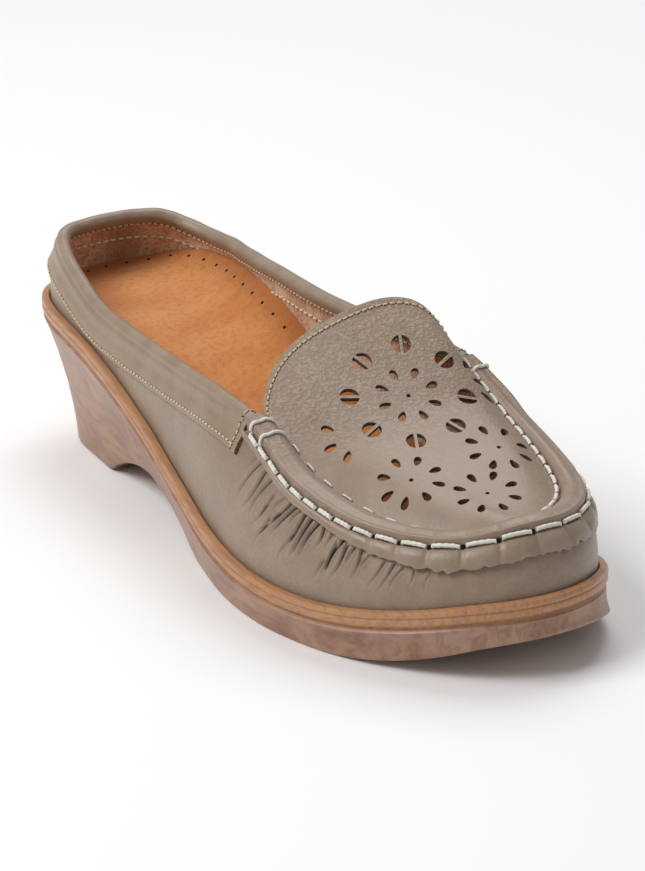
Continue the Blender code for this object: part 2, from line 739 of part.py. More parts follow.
def make_insole():
    """Footbed on the tray's floor, with its edge cupped up inside the wall."""
    top = []
    bottom = []
    for turn in SHARED_TURNS:
        along = along_share(turn)
        rim = rim_height(along * LENGTH)
        middle = INSOLE_ROWS[0](along)
        edges = {}
        for side, row in ((1, INSOLE_ROWS[1]), (-1, INSOLE_ROWS[2])):
            z = min(rim + row(along), wall_profile(turn, side, 1.0)[1] - BAND_TURN_IN - INSOLE_BELOW_BAND)
            share = wall_share(turn, side, z)
            edges[side] = wall_point(turn, side, share, -WALL - INSOLE_CLEARANCE)
            edges[side][2] = z
            edges[side, "low"] = edge_point(turn, side, -RIM_LEDGE - WALL - 1.5 * INSOLE_CLEARANCE,
                                            rim - TRAY_DEPTH + GAP)
        face = []
        under = []
        for c in INSOLE_COLUMNS:
            share = (c + 1) / 2
            blend = abs(c) ** INSOLE_DISH
            edge = edges[1] if c > 0 else edges[-1]
            line = edges[-1] + (edges[1] - edges[-1]) * share
            z = (rim + middle) * (1 - blend) + edge[2] * blend
            if turn in (0.0, 1.0):
                z = edge[2]
            face.append(np.array([line[0], line[1], z]))
            low = edges[-1, "low"] + (edges[1, "low"] - edges[-1, "low"]) * share
            under.append(low)
        top.append(face)
        bottom.append(under)
    data = bmesh.new()
    upper_rows = [vertices(data, row) for row in top]
    lower_rows = [vertices(data, row) for row in bottom]
    grid_faces(data, upper_rows, False)
    grid_faces(data, lower_rows, False)
    for side in (0, -1):
        grid_faces(data, [[row[side] for row in upper_rows], [row[side] for row in lower_rows]], False)
    for end in (0, -1):
        grid_faces(data, [upper_rows[end], lower_rows[end]], False)
    return add_object("insole", data, (0.62, 0.27, 0.09), 0.85)


def make_upper():
    """Side wall of vamp and quarters, one hollow ring with a real thickness."""
    stations = both_sides(SHARED_TURNS)
    columns = []
    for t, s in stations:
        low = strip_share(t, s)
        columns.append((*UPPER_ROWS, (UPPER_ROWS[-1] + low) / 2, low, (low + STITCH_SHARE) / 2,
                        STITCH_SHARE, 1.0))
    count = len(columns[0])
    rows_out = [[wall_point(t, s, share[k], seam_step(t, s, share[k]))
                 for (t, s), share in zip(stations, columns)] for k in range(count)]
    rows_in = [[wall_point(t, s, share[k], -WALL) for (t, s), share in zip(stations, columns)]
               for k in range(count)]
    return add_object("upper", shell(rows_out, rows_in, True), (0.33, 0.26, 0.20), 0.5)


def make_heel_band():
    """Binding that caps the wall from tab to tab round the heel and turns in over the lining."""
    values = [t for t in SHARED_TURNS if t <= BAND_TURN]
    stations = [(t, -1) for t in reversed(values[1:])] + [(t, 1) for t in values]
    outer = []
    inner = []
    lift = np.array([0, 0, 1.0])
    inside = -WALL - GAP
    deep = inside - BAND_INSIDE_THICKNESS
    for t, s in stations:
        top_z = wall_profile(t, s, 1.0)[1]
        rim_z = rim_height(along_share(t) * LENGTH)
        low = max(width_share(t, s, BAND_WIDTH), wall_share(t, s, rim_z + BAND_ABOVE_RIM))
        turn_in = wall_share(t, s, top_z - BAND_TURN_IN)
        face = []
        back = []
        for share, extra in BAND_SECTION:
            height = low + (1 - low) * share
            near = 1.5 * GAP + seam_step(t, s, max(height, 0.4))
            face.append(wall_point(t, s, height, near + BAND_THICKNESS + extra))
            back.append(wall_point(t, s, height, near))
        centre = wall_point(t, s, 1.0, -WALL / 2)
        shoulder = face[-1] + (back[-1] - face[-1]) * 0.4 + lift * BAND_ROLL * 0.8
        outer.append([*face, shoulder, centre + lift * (GAP + BAND_ROLL),
                      wall_point(t, s, 1.0, deep + GAP) + lift * BAND_ROLL * 0.75,
                      wall_point(t, s, 1.0, deep), wall_point(t, s, turn_in, deep)])
        inner.append([*back, back[-1] + lift * GAP, centre + lift * GAP * 1.4,
                      wall_point(t, s, 1.0, inside) + lift * GAP,
                      wall_point(t, s, 1.0, inside), wall_point(t, s, turn_in, inside)])
    rows_out = [list(row) for row in zip(*outer)]
    rows_in = [list(row) for row in zip(*inner)]
    return add_object("heel_band", shell(rows_out, rows_in, False), (0.34, 0.27, 0.21), 0.45)


def spine_point(share):
    """Point on the apron's middle line, from the throat, 0, to its front, 1."""
    z = INSTEP_HEIGHT - (INSTEP_HEIGHT - TOE_BOX_HEIGHT) * SPINE_ROW(share)
    side = THROAT_SIDE * (1 - 0.35 * share)
    return np.array([THROAT + APRON_LENGTH * share, side, z])


def apron_columns():
    """Stations of the apron's edge, by the toe, each with its share along the spine."""
    values = [t for t in SHARED_TURNS if t >= TAB_TURN]
    around = [(t, 1) for t in values] + [(t, -1) for t in reversed(values[:-1])]
    half = len(values) - 1
    columns = []
    for k, (t, s) in enumerate(around):
        share = 1 - abs(k - half) / half
        columns.append((t, s, 1 - (1 - share) ** 1.7))
    return columns


def apron_section(turn, side, share):
    """Outer and inner points of one section of the apron, from its cut edge to the spine."""
    low = strip_share(turn, side)
    lift = np.array([0, 0, 1.0])
    centre = wall_point(turn, side, 1.0, -WALL / 2)
    inward = -outward(turn, side)
    inward = np.array([inward[0], inward[1], 0.0])
    width = BEAD_ROWS[0 if side > 0 else 1](along_share(turn))

    def skin(t, off):
        return wall_point(turn, side, t, GAP + seam_step(turn, side, t) + off)

    bead = [centre + inward * (share_in * width + near) + lift * up * BEAD_RISE
            for share_in, near, up in BEAD_SECTION]
    outer = [
        skin(low, STRIP_THICKNESS),
        skin((low + STITCH_SHARE) / 2, STRIP_THICKNESS + STRIP_BULGE),
        skin(STITCH_SHARE, STRIP_THICKNESS - STITCH_SINK),
        skin(1.0, STRIP_THICKNESS) + lift * BEAD_SHOULDER,
        *bead,
    ]
    inner = [
        skin(low, 0.0),
        skin((low + STITCH_SHARE) / 2, 0.0),
        skin(STITCH_SHARE, 0.0),
        skin(1.0, 0.0) + lift * GAP,
        centre + lift * 2 * GAP - inward * (WALL / 2 - 1.5 * GAP),
        centre + lift * 2 * GAP + inward * (WALL / 2 + GAP),
        bead[2] - lift * APRON_THICKNESS * 1.35,
        bead[3] - lift * APRON_THICKNESS,
    ]
    valley = bead[-1]
    spine = spine_point(share)
    crown, rear, aside, ridge = APRON_CROWN[0 if side > 0 else 1]
    crown += (APRON_TOE_CROWN - crown) * share ** 0.6
    rise_from = valley[2]
    for k in range(1, APRON_ROWS + 1):
        r = (k / APRON_ROWS) ** 1.5
        rise = 1 - (1 - r) ** crown
        place = valley + (spine - valley) * r
        place[0] -= rear * (1 - share) ** 2 * r ** 0.5 * (1 - r)
        place[1] += aside * (1 - share) * r ** 0.5 * (1 - r)
        place[2] = rise_from + (spine[2] - rise_from) * rise + ridge * (1 - share) * 4 * r * (1 - r)
        outer.append(place)
    across = np.array([spine[0] - valley[0], spine[1] - valley[1], 0.0])
    across /= np.linalg.norm(across)
    first = len(outer) - APRON_ROWS
    for k in range(first, len(outer) - 1):
        step = outer[k + 1] - outer[k - 1]
        run = float(step @ across)
        slope = math.hypot(run, step[2])
        inner.append(outer[k] + (across * step[2] - lift * run) / slope * APRON_THICKNESS)
    inner.append(spine - lift * APRON_THICKNESS)
    return outer, inner


def petal(u, v, angle):
    """Pointed loop of one petal, its point towards the flower's middle."""
    loop = []
    for k in range(6):
        phase = math.pi * k / 3
        reach = math.cos(phase) * PETAL_LENGTH / 2
        half = math.sin(phase) * PETAL_WIDTH / 2 * (1 + 0.25 * math.cos(phase))
        loop.append((u + reach * math.cos(angle) - half * math.sin(angle),
                     v + reach * math.sin(angle) + half * math.cos(angle)))
    return loop


def half_bean(u, v, angle, hand):
    """Loop of one half of a round hole, beside its bar, which points along the angle."""
    loop = []
    radius = BEAN_HOLE / 2
    start = math.asin(BEAN_BAR / 2 / radius)
    for k in range(6):
        phase = start + (math.pi - 2 * start) * k / 5
        reach = radius * math.cos(phase)
        half = hand * radius * math.sin(phase)
        loop.append((u + reach * math.cos(angle) - half * math.sin(angle),
                     v + reach * math.sin(angle) + half * math.cos(angle)))
    return loop


def perforation_cutter():
    """Upright prisms for every petal and half bean of the apron's pattern."""
    places = [(THROAT + APRON_LENGTH * along, HALF_WIDTH * side, part) for along, side, part in FLOWERS]
    loops = []
    for u, v, part in places:
        for k in FLOWER_PARTS[part]:
            angle = 2 * math.pi * k / PETALS
            loops.append(petal(u + FLOWER_RADIUS * math.cos(angle), v + FLOWER_RADIUS * math.sin(angle),
                               angle))
    u, v = places[0][:2]
    for k in range(PETALS):
        angle = math.radians(BEAN_TURN) + 2 * math.pi * k / PETALS
        for hand in (1, -1):
            loops.append(half_bean(u + BEAN_RING * math.cos(angle), v + BEAN_RING * math.sin(angle),
                                   angle, hand))
    low = [[(*p, TOE_BOX_HEIGHT - CUTTER_RUN_OUT) for p in loop] for loop in loops]
    high = [[(*p, INSTEP_HEIGHT + CUTTER_RUN_OUT) for p in loop] for loop in loops]
    return add_object("perforations", prism(low, high), (0, 0, 0), 1.0, cutter=True)


def make_apron():
    """Moccasin apron: cut margin over the wall, rolled bead, and the perforated middle."""
    outer = []
    inner = []
    for turn, side, share in apron_columns():
        out_points, in_points = apron_section(turn, side, share)
        outer.append(out_points)
        inner.append(in_points)
    rows_out = [list(row) for row in zip(*outer)]
    rows_in = [list(row) for row in zip(*inner)]
    data = bmesh.new()
    upper_rows = [vertices(data, row) for row in rows_out]
    lower_rows = [vertices(data, row) for row in rows_in]
    grid_faces(data, upper_rows, False)
    grid_faces(data, lower_rows, False)
    grid_faces(data, [upper_rows[0], lower_rows[0]], False)
    for end in (0, -1):
        grid_faces(data, [[row[end] for row in upper_rows], [row[end] for row in lower_rows]], False)
    bmesh.ops.triangulate(data, faces=data.faces)
    apron = add_object("apron", data, (0.36, 0.28, 0.22), 0.42)
    cut(apron, perforation_cutter())
    return apron


for old in list(bpy.data.objects):
    bpy.data.objects.remove(old)
make_outsole()
make_insole()
make_upper()
make_heel_band()
make_apron()
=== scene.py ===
"""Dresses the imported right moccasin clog: leather, stitching, perforations, footbed and sole.

Every piece is worked out from one last, in the same shoe coordinates as the part's source: u runs
forward from the back of the sole's rim, v towards the lateral side, z up, in millimetres. The
shoe stands on z = 0 with its toe towards -Y and its lateral side towards -X.
"""

import logging
import math
from collections.abc import Callable, Sequence
from dataclasses import dataclass, field
from enum import Enum
from typing import Any

import bmesh
import bpy
import numpy as np
from bpy.types import GeometryNodeTree, Material, Mesh, Node, NodeSocket, NodeTree, Object
from mathutils import Matrix, Vector
from mathutils.bvhtree import BVHTree
from mathutils.geometry import delaunay_2d_cdt


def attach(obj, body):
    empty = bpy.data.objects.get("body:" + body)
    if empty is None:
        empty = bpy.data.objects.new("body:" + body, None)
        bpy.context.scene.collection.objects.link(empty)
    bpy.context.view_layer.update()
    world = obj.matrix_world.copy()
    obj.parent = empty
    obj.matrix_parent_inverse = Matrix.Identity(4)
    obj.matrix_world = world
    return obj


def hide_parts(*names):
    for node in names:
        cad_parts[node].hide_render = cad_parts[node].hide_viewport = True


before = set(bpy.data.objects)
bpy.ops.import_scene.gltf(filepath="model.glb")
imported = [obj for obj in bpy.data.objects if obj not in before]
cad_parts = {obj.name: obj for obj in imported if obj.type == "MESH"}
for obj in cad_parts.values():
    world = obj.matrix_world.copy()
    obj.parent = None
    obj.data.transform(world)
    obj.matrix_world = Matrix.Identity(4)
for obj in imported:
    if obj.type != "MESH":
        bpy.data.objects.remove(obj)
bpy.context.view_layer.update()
LOG = logging.getLogger("moccasin_clog")
MM = 0.001
UP = np.array([0.0, 0.0, 1.0])
Colour = tuple[float, float, float]
Loop = list[tuple[float, float]]

# Rim of the sole: share of length, lateral and medial side as shares of half the ball's width.
RIM_SIDES = (
    (0, 0, 0), (0.01, 0.368, -0.359), (0.03, 0.545, -0.532), (0.06, 0.648, -0.636), (0.1, 0.707, -0.695),
    (0.15, 0.743, -0.707), (0.2, 0.773, -0.657), (0.3, 0.818, -0.589), (0.4, 0.852, -0.584),
    (0.5, 0.918, -0.682), (0.6, 1.005, -0.848), (0.65, 1.03, -0.916), (0.7, 1.027, -0.952),
    (0.75, 0.991, -0.961), (0.8, 0.92, -0.952), (0.85, 0.814, -0.923), (0.9, 0.668, -0.855),
    (0.94, 0.507, -0.736), (0.97, 0.332, -0.58), (0.99, 0.141, -0.407), (1, -0.136, -0.136),
)
# Foot of the sole: share of its own length, lateral and medial side in the same shares.
FOOT_SIDES = (
    (0, 0.023, 0.023), (0.01, 0.323, -0.268), (0.03, 0.445, -0.405), (0.06, 0.507, -0.484),
    (0.1, 0.532, -0.527), (0.15, 0.555, -0.493), (0.2, 0.58, -0.457), (0.3, 0.634, -0.439),
    (0.4, 0.709, -0.493), (0.5, 0.83, -0.648), (0.6, 0.941, -0.839), (0.65, 0.964, -0.907),
    (0.7, 0.957, -0.941), (0.75, 0.914, -0.952), (0.8, 0.839, -0.948), (0.85, 0.727, -0.923),
    (0.9, 0.575, -0.857), (0.94, 0.423, -0.745), (0.97, 0.266, -0.598), (0.99, 0.086, -0.432),
    (1, -0.136, -0.136),
)
# Height of the rim: share of length, share of the way from the ball's height to the end's.
RIM_BACK = (
    (0, 1.016), (0.03, 1.003), (0.06, 0.99), (0.1, 0.97), (0.15, 0.946), (0.2, 0.918), (0.3, 0.782),
    (0.4, 0.536), (0.5, 0.293), (0.6, 0.123), (0.65, 0.066), (0.7, 0.022), (0.75, 0),
)
RIM_FRONT = (
    (0.75, 0), (0.8, 0.012), (0.85, 0.128), (0.9, 0.372), (0.94, 0.628), (0.97, 0.849), (1, 1),
)
# Underside: shares of the way along the arch and along the toe spring, shares of their heights.
ARCH = (
    (0, 0), (0.02, 0.16), (0.09, 0.46), (0.22, 0.83), (0.38, 1), (0.55, 0.82), (0.75, 0.4), (0.9, 0.12),
    (1, 0),
)
SPRING = (
    (0, 0), (0.21, 0.08), (0.48, 0.29), (0.69, 0.56), (0.84, 0.8), (1, 1),
)
# Top line of the side wall: share of length, share of the heel's top line, inset in ball widths.
TOP_LATERAL = (
    (0, 1.018, 0.088), (0.03, 1.012, 0.08), (0.06, 0.996, 0.076), (0.12, 0.953, 0.064),
    (0.17, 0.906, 0.059), (0.23, 0.857, 0.058), (0.32, 0.84, 0.06), (0.41, 0.834, 0.066),
    (0.5, 0.843, 0.08), (0.57, 0.846, 0.102), (0.64, 0.816, 0.126), (0.69, 0.75, 0.126),
    (0.74, 0.665, 0.118), (0.79, 0.608, 0.114), (0.84, 0.565, 0.112), (0.89, 0.546, 0.112),
    (0.94, 0.55, 0.112), (0.97, 0.568, 0.114), (1, 0.61, 0.116),
)
TOP_MEDIAL = (
    (0, 1.018, 0.088), (0.03, 0.985, 0.09), (0.06, 0.956, 0.082), (0.12, 0.934, 0.077),
    (0.18, 0.938, 0.064), (0.24, 0.946, 0.055), (0.31, 0.956, 0.051), (0.4, 0.949, 0.054),
    (0.48, 0.934, 0.06), (0.56, 0.925, 0.07), (0.64, 0.88, 0.08), (0.69, 0.8, 0.078), (0.74, 0.722, 0.074),
    (0.8, 0.662, 0.074), (0.85, 0.62, 0.076), (0.9, 0.592, 0.082), (0.95, 0.592, 0.096),
    (0.98, 0.598, 0.108), (1, 0.61, 0.116),
)
# Middle of the apron: share of the way from throat to front, share of the fall of its height.
APRON_SPINE = (
    (0, 0), (0.15, 0.2), (0.3, 0.4), (0.5, 0.63), (0.7, 0.82), (0.85, 0.93), (1, 1),
)
# Insole's upper face above the rim: share of length, middle, lateral edge, medial edge, in mm.
INSOLE_FACE = (
    (0, 1.6, 2.2, 2.2), (0.03, 1.2, 3.4, 4.6), (0.07, 1, 4.4, 7), (0.13, 1, 4.8, 8.6), (0.23, 1.6, 5, 11.4),
    (0.32, 2.2, 5, 12.6), (0.4, 2.6, 5, 11.4), (0.5, 2.6, 4.4, 8), (0.6, 2.2, 3.2, 4),
    (0.75, 1.8, 2.2, 2.2), (1, 1.2, 1.4, 1.4),
)
# Width of the bead: share of length, lateral mm, medial mm.
BEAD_WIDTHS = (
    (0.64, 4.2, 3.2), (0.74, 6, 3.4), (0.85, 6.6, 4.2), (1, 5.6, 5.6),
)
# Flowers on the apron: share of its length, share of half the ball's width, petals that are cut.
ALL_PETALS = tuple(range(8))
FLOWERS = (
    (0.416, -0.168, ALL_PETALS),
    (0.763, 0.191, ALL_PETALS),
    (0.958, -0.127, ALL_PETALS),
    (0.774, -0.418, ALL_PETALS),
    (0.474, 0.282, (1, 2, 3)),
    (0.437, -0.523, (5, 6, 7)),
)
# Drop lugs of the forefoot: along and aside in mm, width, side that the point is on.
LUGS = (
    (138, -13, 4.6, -1), (150, -13.5, 5.2, -1), (162, -15, 6.4, -1), (176, -16, 8, -1),
    (194, -16.5, 10, -1), (137, 17, 3.8, 1), (147, 16, 4.2, 1), (159, 13.5, 4.8, 1), (172, 11, 6.2, 1),
    (190.5, 8.5, 7.2, 1),
)
HEEL_DROPS = (
    (22, -7), (22, 8), (35, -8), (35, 9),
)
# Gather creases of the lateral wall, one by one: head's way back from the tip along the wall, drop
# of the head under the cut margin, length down, way back per mm down, depth, half width, in mm.
CREASES = (
    (101, 0.6, 5, 0.5, 0.3, 0.45), (98.2, 0.2, 13, 0.46, 0.55, 0.55), (95.3, 0.4, 14.5, 0.42, 0.6, 0.6),
    (92.4, 1.2, 13, 0.4, 0.5, 0.55), (89.6, 3, 8, 0.42, 0.35, 0.45), (90.8, 6.5, 9, 0.62, 0.4, 0.5),
    (84.9, 0.3, 6, 0.55, 0.4, 0.45), (82.3, 0.2, 10, 0.8, 0.7, 0.6), (80.6, 0.6, 11, 0.63, 0.65, 0.6),
    (85.6, 5.5, 12, 0.66, 0.55, 0.55), (88.4, 7.5, 10, 0.62, 0.4, 0.5), (78.6, 0.3, 5, 0.45, 0.45, 0.45),
    (76.6, 0.3, 11, 0.38, 0.65, 0.6), (74.2, 0.5, 12, 0.4, 0.7, 0.6), (71.6, 0.4, 10.5, 0.38, 0.65, 0.6),
    (69.4, 0.2, 6, 0.3, 0.55, 0.5), (79, 7, 9, 0.52, 0.4, 0.5), (66.4, 0.5, 4, 0.3, 0.35, 0.45),
    (64.2, 1.6, 9, 0.34, 0.55, 0.55), (62.4, 0.2, 10.5, 0.35, 0.7, 0.6), (60.9, 1.2, 9.5, 0.38, 0.55, 0.55),
    (66.9, 7, 7, 0.45, 0.35, 0.5), (58.4, 0.3, 5, 0.25, 0.4, 0.45), (56, 0.4, 8, 0.28, 0.45, 0.55),
    (53.6, 0.8, 5, 0.3, 0.3, 0.45), (48.6, 0.8, 7.5, 0.55, 0.38, 0.5), (45.6, 0.6, 8, 0.52, 0.4, 0.55),
    (42.8, 0.8, 6.5, 0.48, 0.35, 0.5), (39.4, 0.8, 4.5, 0.4, 0.25, 0.45), (34.6, 0.6, 4, 0.3, 0.22, 0.45),
)
# The same on the medial wall, ahead of its seam: fewer and softer.
MEDIAL_CREASES = (
    (46, 0.6, 6, 0.4, 0.3, 0.5), (50.5, 0.4, 8, 0.45, 0.42, 0.55), (53.5, 0.8, 7, 0.42, 0.38, 0.5),
    (59, 0.3, 9, 0.5, 0.5, 0.55), (61.8, 0.9, 7, 0.46, 0.4, 0.5), (67.5, 0.5, 6, 0.4, 0.3, 0.5),
)


class Side(Enum):
    """Side of the foot that a place is on."""

    LATERAL = 1
    MEDIAL = -1


def turn_share(along: float) -> float:
    """Share of a half turn that a place along the shoe stands for, so round ends stay smooth."""
    return math.acos(1 - 2 * min(max(along, 0.0), 1.0)) / math.pi


def along_share(turn: float) -> float:
    """Share of the length that a turn stands for."""
    return (1 - math.cos(math.pi * turn)) / 2


def soft_step(value: float) -> float:
    """Smooth step from 0 at 0 to 1 at 1."""
    value = min(max(value, 0.0), 1.0)
    return value * value * (3 - 2 * value)


def unit(vectors: np.ndarray) -> np.ndarray:
    """Vectors brought to length 1."""
    return vectors / np.linalg.norm(vectors, axis=-1, keepdims=True)


class Curve:
    """Smooth curve through the points of one column of a table."""

    def __init__(self, table: Sequence[Sequence[float]], column: int = 1, scale: float = 1.0,
                 round_ends: bool = False) -> None:
        """Keep the points and the slopes at them.

        Args:
            table: rows whose first value is the place along the curve.
            column: column of the values.
            scale: size that the values are shares of.
            round_ends: True where both ends are round, so turns are the even measure.
        """
        self.key = turn_share if round_ends else float
        self.xs = np.array([self.key(row[0]) for row in table])
        self.ys = np.array([row[column] * scale for row in table])
        self.slopes = np.gradient(self.ys, self.xs)

    def at(self, x: float) -> float:
        """Value of the curve.

        Args:
            x: place along the curve, held inside its ends.

        Returns:
            The value there.
        """
        x = min(max(self.key(x), self.xs[0]), self.xs[-1])
        k = min(max(int(np.searchsorted(self.xs, x)) - 1, 0), len(self.xs) - 2)
        span = self.xs[k + 1] - self.xs[k]
        t = (x - self.xs[k]) / span
        ends = self.ys[k] * (1 + 2 * t) * (1 - t) ** 2 + self.ys[k + 1] * t * t * (3 - 2 * t)
        return float(ends + span * t * (1 - t) * (self.slopes[k] * (1 - t) - self.slopes[k + 1] * t))


@dataclass(frozen=True)
class Station:
    """Place on the outline, with what the wall needs there, in mm."""

    turn: float
    side: Side
    along: float
    place: np.ndarray
    out: np.ndarray
    rim: float
    foot_z: float
    top_z: float
    top_in: float

    @property
    def height(self) -> float:
        """Height of the side wall."""
        return self.top_z - self.foot_z

    @property
    def outward(self) -> np.ndarray:
        """Level unit vector out of the outline."""
        return np.array([*self.out, 0.0])

    def share(self, z: float) -> float:
        """Share of the wall's height that a height above the floor stands for."""
        return (z - self.foot_z) / self.height


@dataclass
class Last:
    """Form that all pieces are offset from, with its sizes in mm."""

    length: float = 236.0
    ball_width: float = 88.0
    heel_height: float = 46.0
    tip_height: float = 22.9
    ball_rim_height: float = 14.3
    collar_rise: float = 16.5
    heel_back_rake: float = 10.4
    heel_breast: float = 48.6
    tread_start: float = 125.0
    flat_end: float = 193.0
    arch_rise: float = 9.8
    toe_spring: float = 11.6
    rim_ledge: float = 2.7
    tray_depth: float = 3.0
    gap: float = 0.3
    wall: float = 1.3
    seam_thickness: float = 0.8
    seam_low: float = 0.62
    seam_high: float = 0.73
    tab_from_tip: float = 84.5
    tab_gap: float = 0.6
    band_turn_in: float = 1.9
    normal_step: float = 0.012
    cache: dict[tuple[float, Side], Station] = field(default_factory=dict)

    def __post_init__(self) -> None:
        """Make the curves of the tables."""
        half, top = self.ball_width / 2, self.heel_height + self.collar_rise
        self.edges = {(side, foot): Curve(FOOT_SIDES if foot else RIM_SIDES, column, half, True)
                      for side, column in ((Side.LATERAL, 1), (Side.MEDIAL, 2)) for foot in (False, True)}
        self.tops = {side: (Curve(table, 1, top), Curve(table, 2, self.ball_width))
                     for side, table in ((Side.LATERAL, TOP_LATERAL), (Side.MEDIAL, TOP_MEDIAL))}
        self.back_blend, self.front_blend = Curve(RIM_BACK), Curve(RIM_FRONT)
        self.arch_row, self.spring_row = Curve(ARCH), Curve(SPRING)
        sides = [self.outline(k / 60, side)[1] for k in range(61) for side in Side]
        self.middle = (max(sides) + min(sides)) / 2
        self.tab_turn = turn_share((self.length - self.tab_from_tip) / self.length)
        self.band_turn = turn_share((self.length - self.tab_from_tip - self.tab_gap) / self.length)

    def world(self, point: Sequence[float]) -> Vector:
        """World place, in metres, of a shoe point."""
        return Vector((-(point[1] - self.middle) * MM, (self.length / 2 - point[0]) * MM, point[2] * MM))

    def shoe(self, place: Vector) -> tuple[float, float, float]:
        """Shoe coordinates of a world place."""
        return self.length / 2 - place.y / MM, self.middle - place.x / MM, place.z / MM

    def mark(self, item: Object, name: str, rule: Callable[[float, float, float], float]) -> None:
        """Store a number for each vertex of a piece, by a rule on its shoe coordinates."""
        values = np.array([rule(*self.shoe(v.co)) for v in item.data.vertices], np.float32)
        item.data.attributes.new(name, "FLOAT", "POINT").data.foreach_set("value", values)

    def rim_height(self, u: float) -> float:
        """Height of the sole's rim above the floor.

        Args:
            u: way forward from the heel.

        Returns:
            The height in mm.
        """
        end, blend = ((self.heel_height, self.back_blend) if u / self.length < RIM_FRONT[0][0]
                      else (self.tip_height, self.front_blend))
        return self.ball_rim_height + blend.at(u / self.length) * (end - self.ball_rim_height)

    def underside(self, u: float) -> float:
        """Height of the sole's underside: flat heel, arch, flat tread and toe spring.

        Args:
            u: way forward from the heel.

        Returns:
            The height in mm.
        """
        arch = self.arch_row.at((u - self.heel_breast) / (self.tread_start - self.heel_breast))
        spring = self.spring_row.at((u - self.flat_end) / (self.length - self.flat_end))
        return arch * self.arch_rise + spring * self.toe_spring

    def outline(self, turn: float, side: Side, foot: bool = False) -> np.ndarray:
        """Point (u, v) of the rim or of the sole's foot, at a turn from 0, the back, to 1, the tip."""
        start, along = self.heel_back_rake if foot else 0.0, along_share(turn)
        return np.array([start + along * (self.length - start), self.edges[side, foot].at(along)])

    def near_outline(self, turn: float, side: Side, foot: bool) -> np.ndarray:
        """Point of the outline at a turn that may run past an end on to the other side."""
        held = 2 - turn if turn > 1 else abs(turn)
        return self.outline(held, side if held == turn else Side(-side.value), foot)

    def outward(self, turn: float, side: Side, foot: bool = False) -> np.ndarray:
        """Unit vector (u, v) out of the outline.

        Args:
            turn: 0 at the back, 1 at the tip.
            side: side of the foot.
            foot: True for the sole's foot, False for its rim.

        Returns:
            The vector.
        """
        ahead, behind = (self.near_outline(turn + step, side, foot)
                         for step in (self.normal_step, -self.normal_step))
        return unit(np.array([behind[1] - ahead[1], ahead[0] - behind[0]]) * side.value)

    def edge(self, turn: float, side: Side, out: float, z: float, foot: bool = False) -> np.ndarray:
        """Shoe point that stands a distance out of the outline, at a height."""
        return np.array([*(self.outline(turn, side, foot) + self.outward(turn, side, foot) * out), z])

    def station(self, turn: float, side: Side) -> Station:
        """Station of the outline, worked out once.

        Args:
            turn: 0 at the back, 1 at the tip.
            side: side of the shoe.

        Returns:
            The station.
        """
        key = (round(turn, 7), side)
        if key not in self.cache:
            along = along_share(turn)
            height, inset = self.tops[side]
            rim = self.rim_height(along * self.length)
            self.cache[key] = Station(turn, side, along, self.outline(turn, side),
                                      self.outward(turn, side), rim,
                                      rim - self.tray_depth + self.gap, height.at(along), inset.at(along))
        return self.cache[key]

    def profile(self, st: Station, t: np.ndarray) -> tuple[np.ndarray, np.ndarray]:
        """Outer face of the side wall.

        Args:
            st: station.
            t: shares of the wall's height, 0 at its foot in the sole and 1 at its top.

        Returns:
            Distances out of the rim, and heights.
        """
        fullness = 1.2 + 1.6 * math.sin(math.pi * min(st.along, 1.0) ** 2.2)
        lean = (st.top_in - self.rim_ledge) * t ** 1.9 - fullness * np.sin(math.pi * t) * t
        return -(self.rim_ledge + lean), st.foot_z + st.height * t

    def on_wall(self, st: Station, t: Any, off: Any = 0.0) -> np.ndarray:
        """Shoe points on the side wall, off its outer face along its own normal.

        Args:
            st: station.
            t: shares of the wall's height.
            off: distance outwards, one or one for each share.

        Returns:
            One point for each share, as rows.
        """
        out_a, z_a = self.profile(st, np.maximum(t - 0.01, 0.0))
        out_b, z_b = self.profile(st, np.minimum(t + 0.01, 1.0))
        run = np.hypot(out_b - out_a, z_b - z_a)
        out, z = self.profile(st, t)
        out = out + off * (z_b - z_a) / run
        return np.stack([st.place[0] + st.out[0] * out, st.place[1] + st.out[1] * out,
                         z - off * (out_b - out_a) / run], axis=-1)

    def wall_normal(self, st: Station, t: float) -> np.ndarray:
        """Outward normal of the side wall."""
        return unit(self.on_wall(st, t, 1.0) - self.on_wall(st, t))

    def wall_row(self, places: Sequence[tuple[Station, float, float]], side: float = 1.0) -> "Row":
        """Row along the wall, by station, share of height and distance off it, from outside or in."""
        return Row(self, np.array([self.on_wall(*p) for p in places]),
                   np.array([self.wall_normal(*p[:2]) * side for p in places]))

    def seam_step(self, st: Station, t: float, spread: float = 1.6) -> float:
        """Thickness that the quarter's overlap adds behind the medial seam.

        Args:
            st: station.
            t: share of the wall's height.
            spread: way over which it grows, in mm.

        Returns:
            The thickness, 0 ahead of the seam and on the lateral side.
        """
        if st.side is Side.LATERAL:
            return 0.0
        across = (self.seam_at(t) - st.along) * self.length / spread + 0.5
        rise = min(max((st.foot_z + st.height * t - st.rim - 1.4) / 1.2, 0.0), 1.0)
        return self.seam_thickness * soft_step(across) * rise * soft_step(st.turn / 0.14)

    def seam_at(self, t: float) -> float:
        """Share of the length where the medial seam's edge lies."""
        return self.seam_low + (self.seam_high - self.seam_low) * max(t, 0.0) ** 0.8

    def width_share(self, st: Station, width: float) -> float:
        """Share of the wall that lies a width below its top line, measured along the wall.

        Args:
            st: station.
            width: the width, in mm.

        Returns:
            The share.
        """
        shares = 1.0 - 0.02 * np.arange(41)
        left = width - np.cumsum(np.linalg.norm(np.diff(self.on_wall(st, shares), axis=0), axis=1))
        k = int(np.argmax(left <= 0)) if (left <= 0).any() else len(left) - 1
        return float(shares[k + 1] - 0.02 * min(left[k], 0.0) / 0.8)

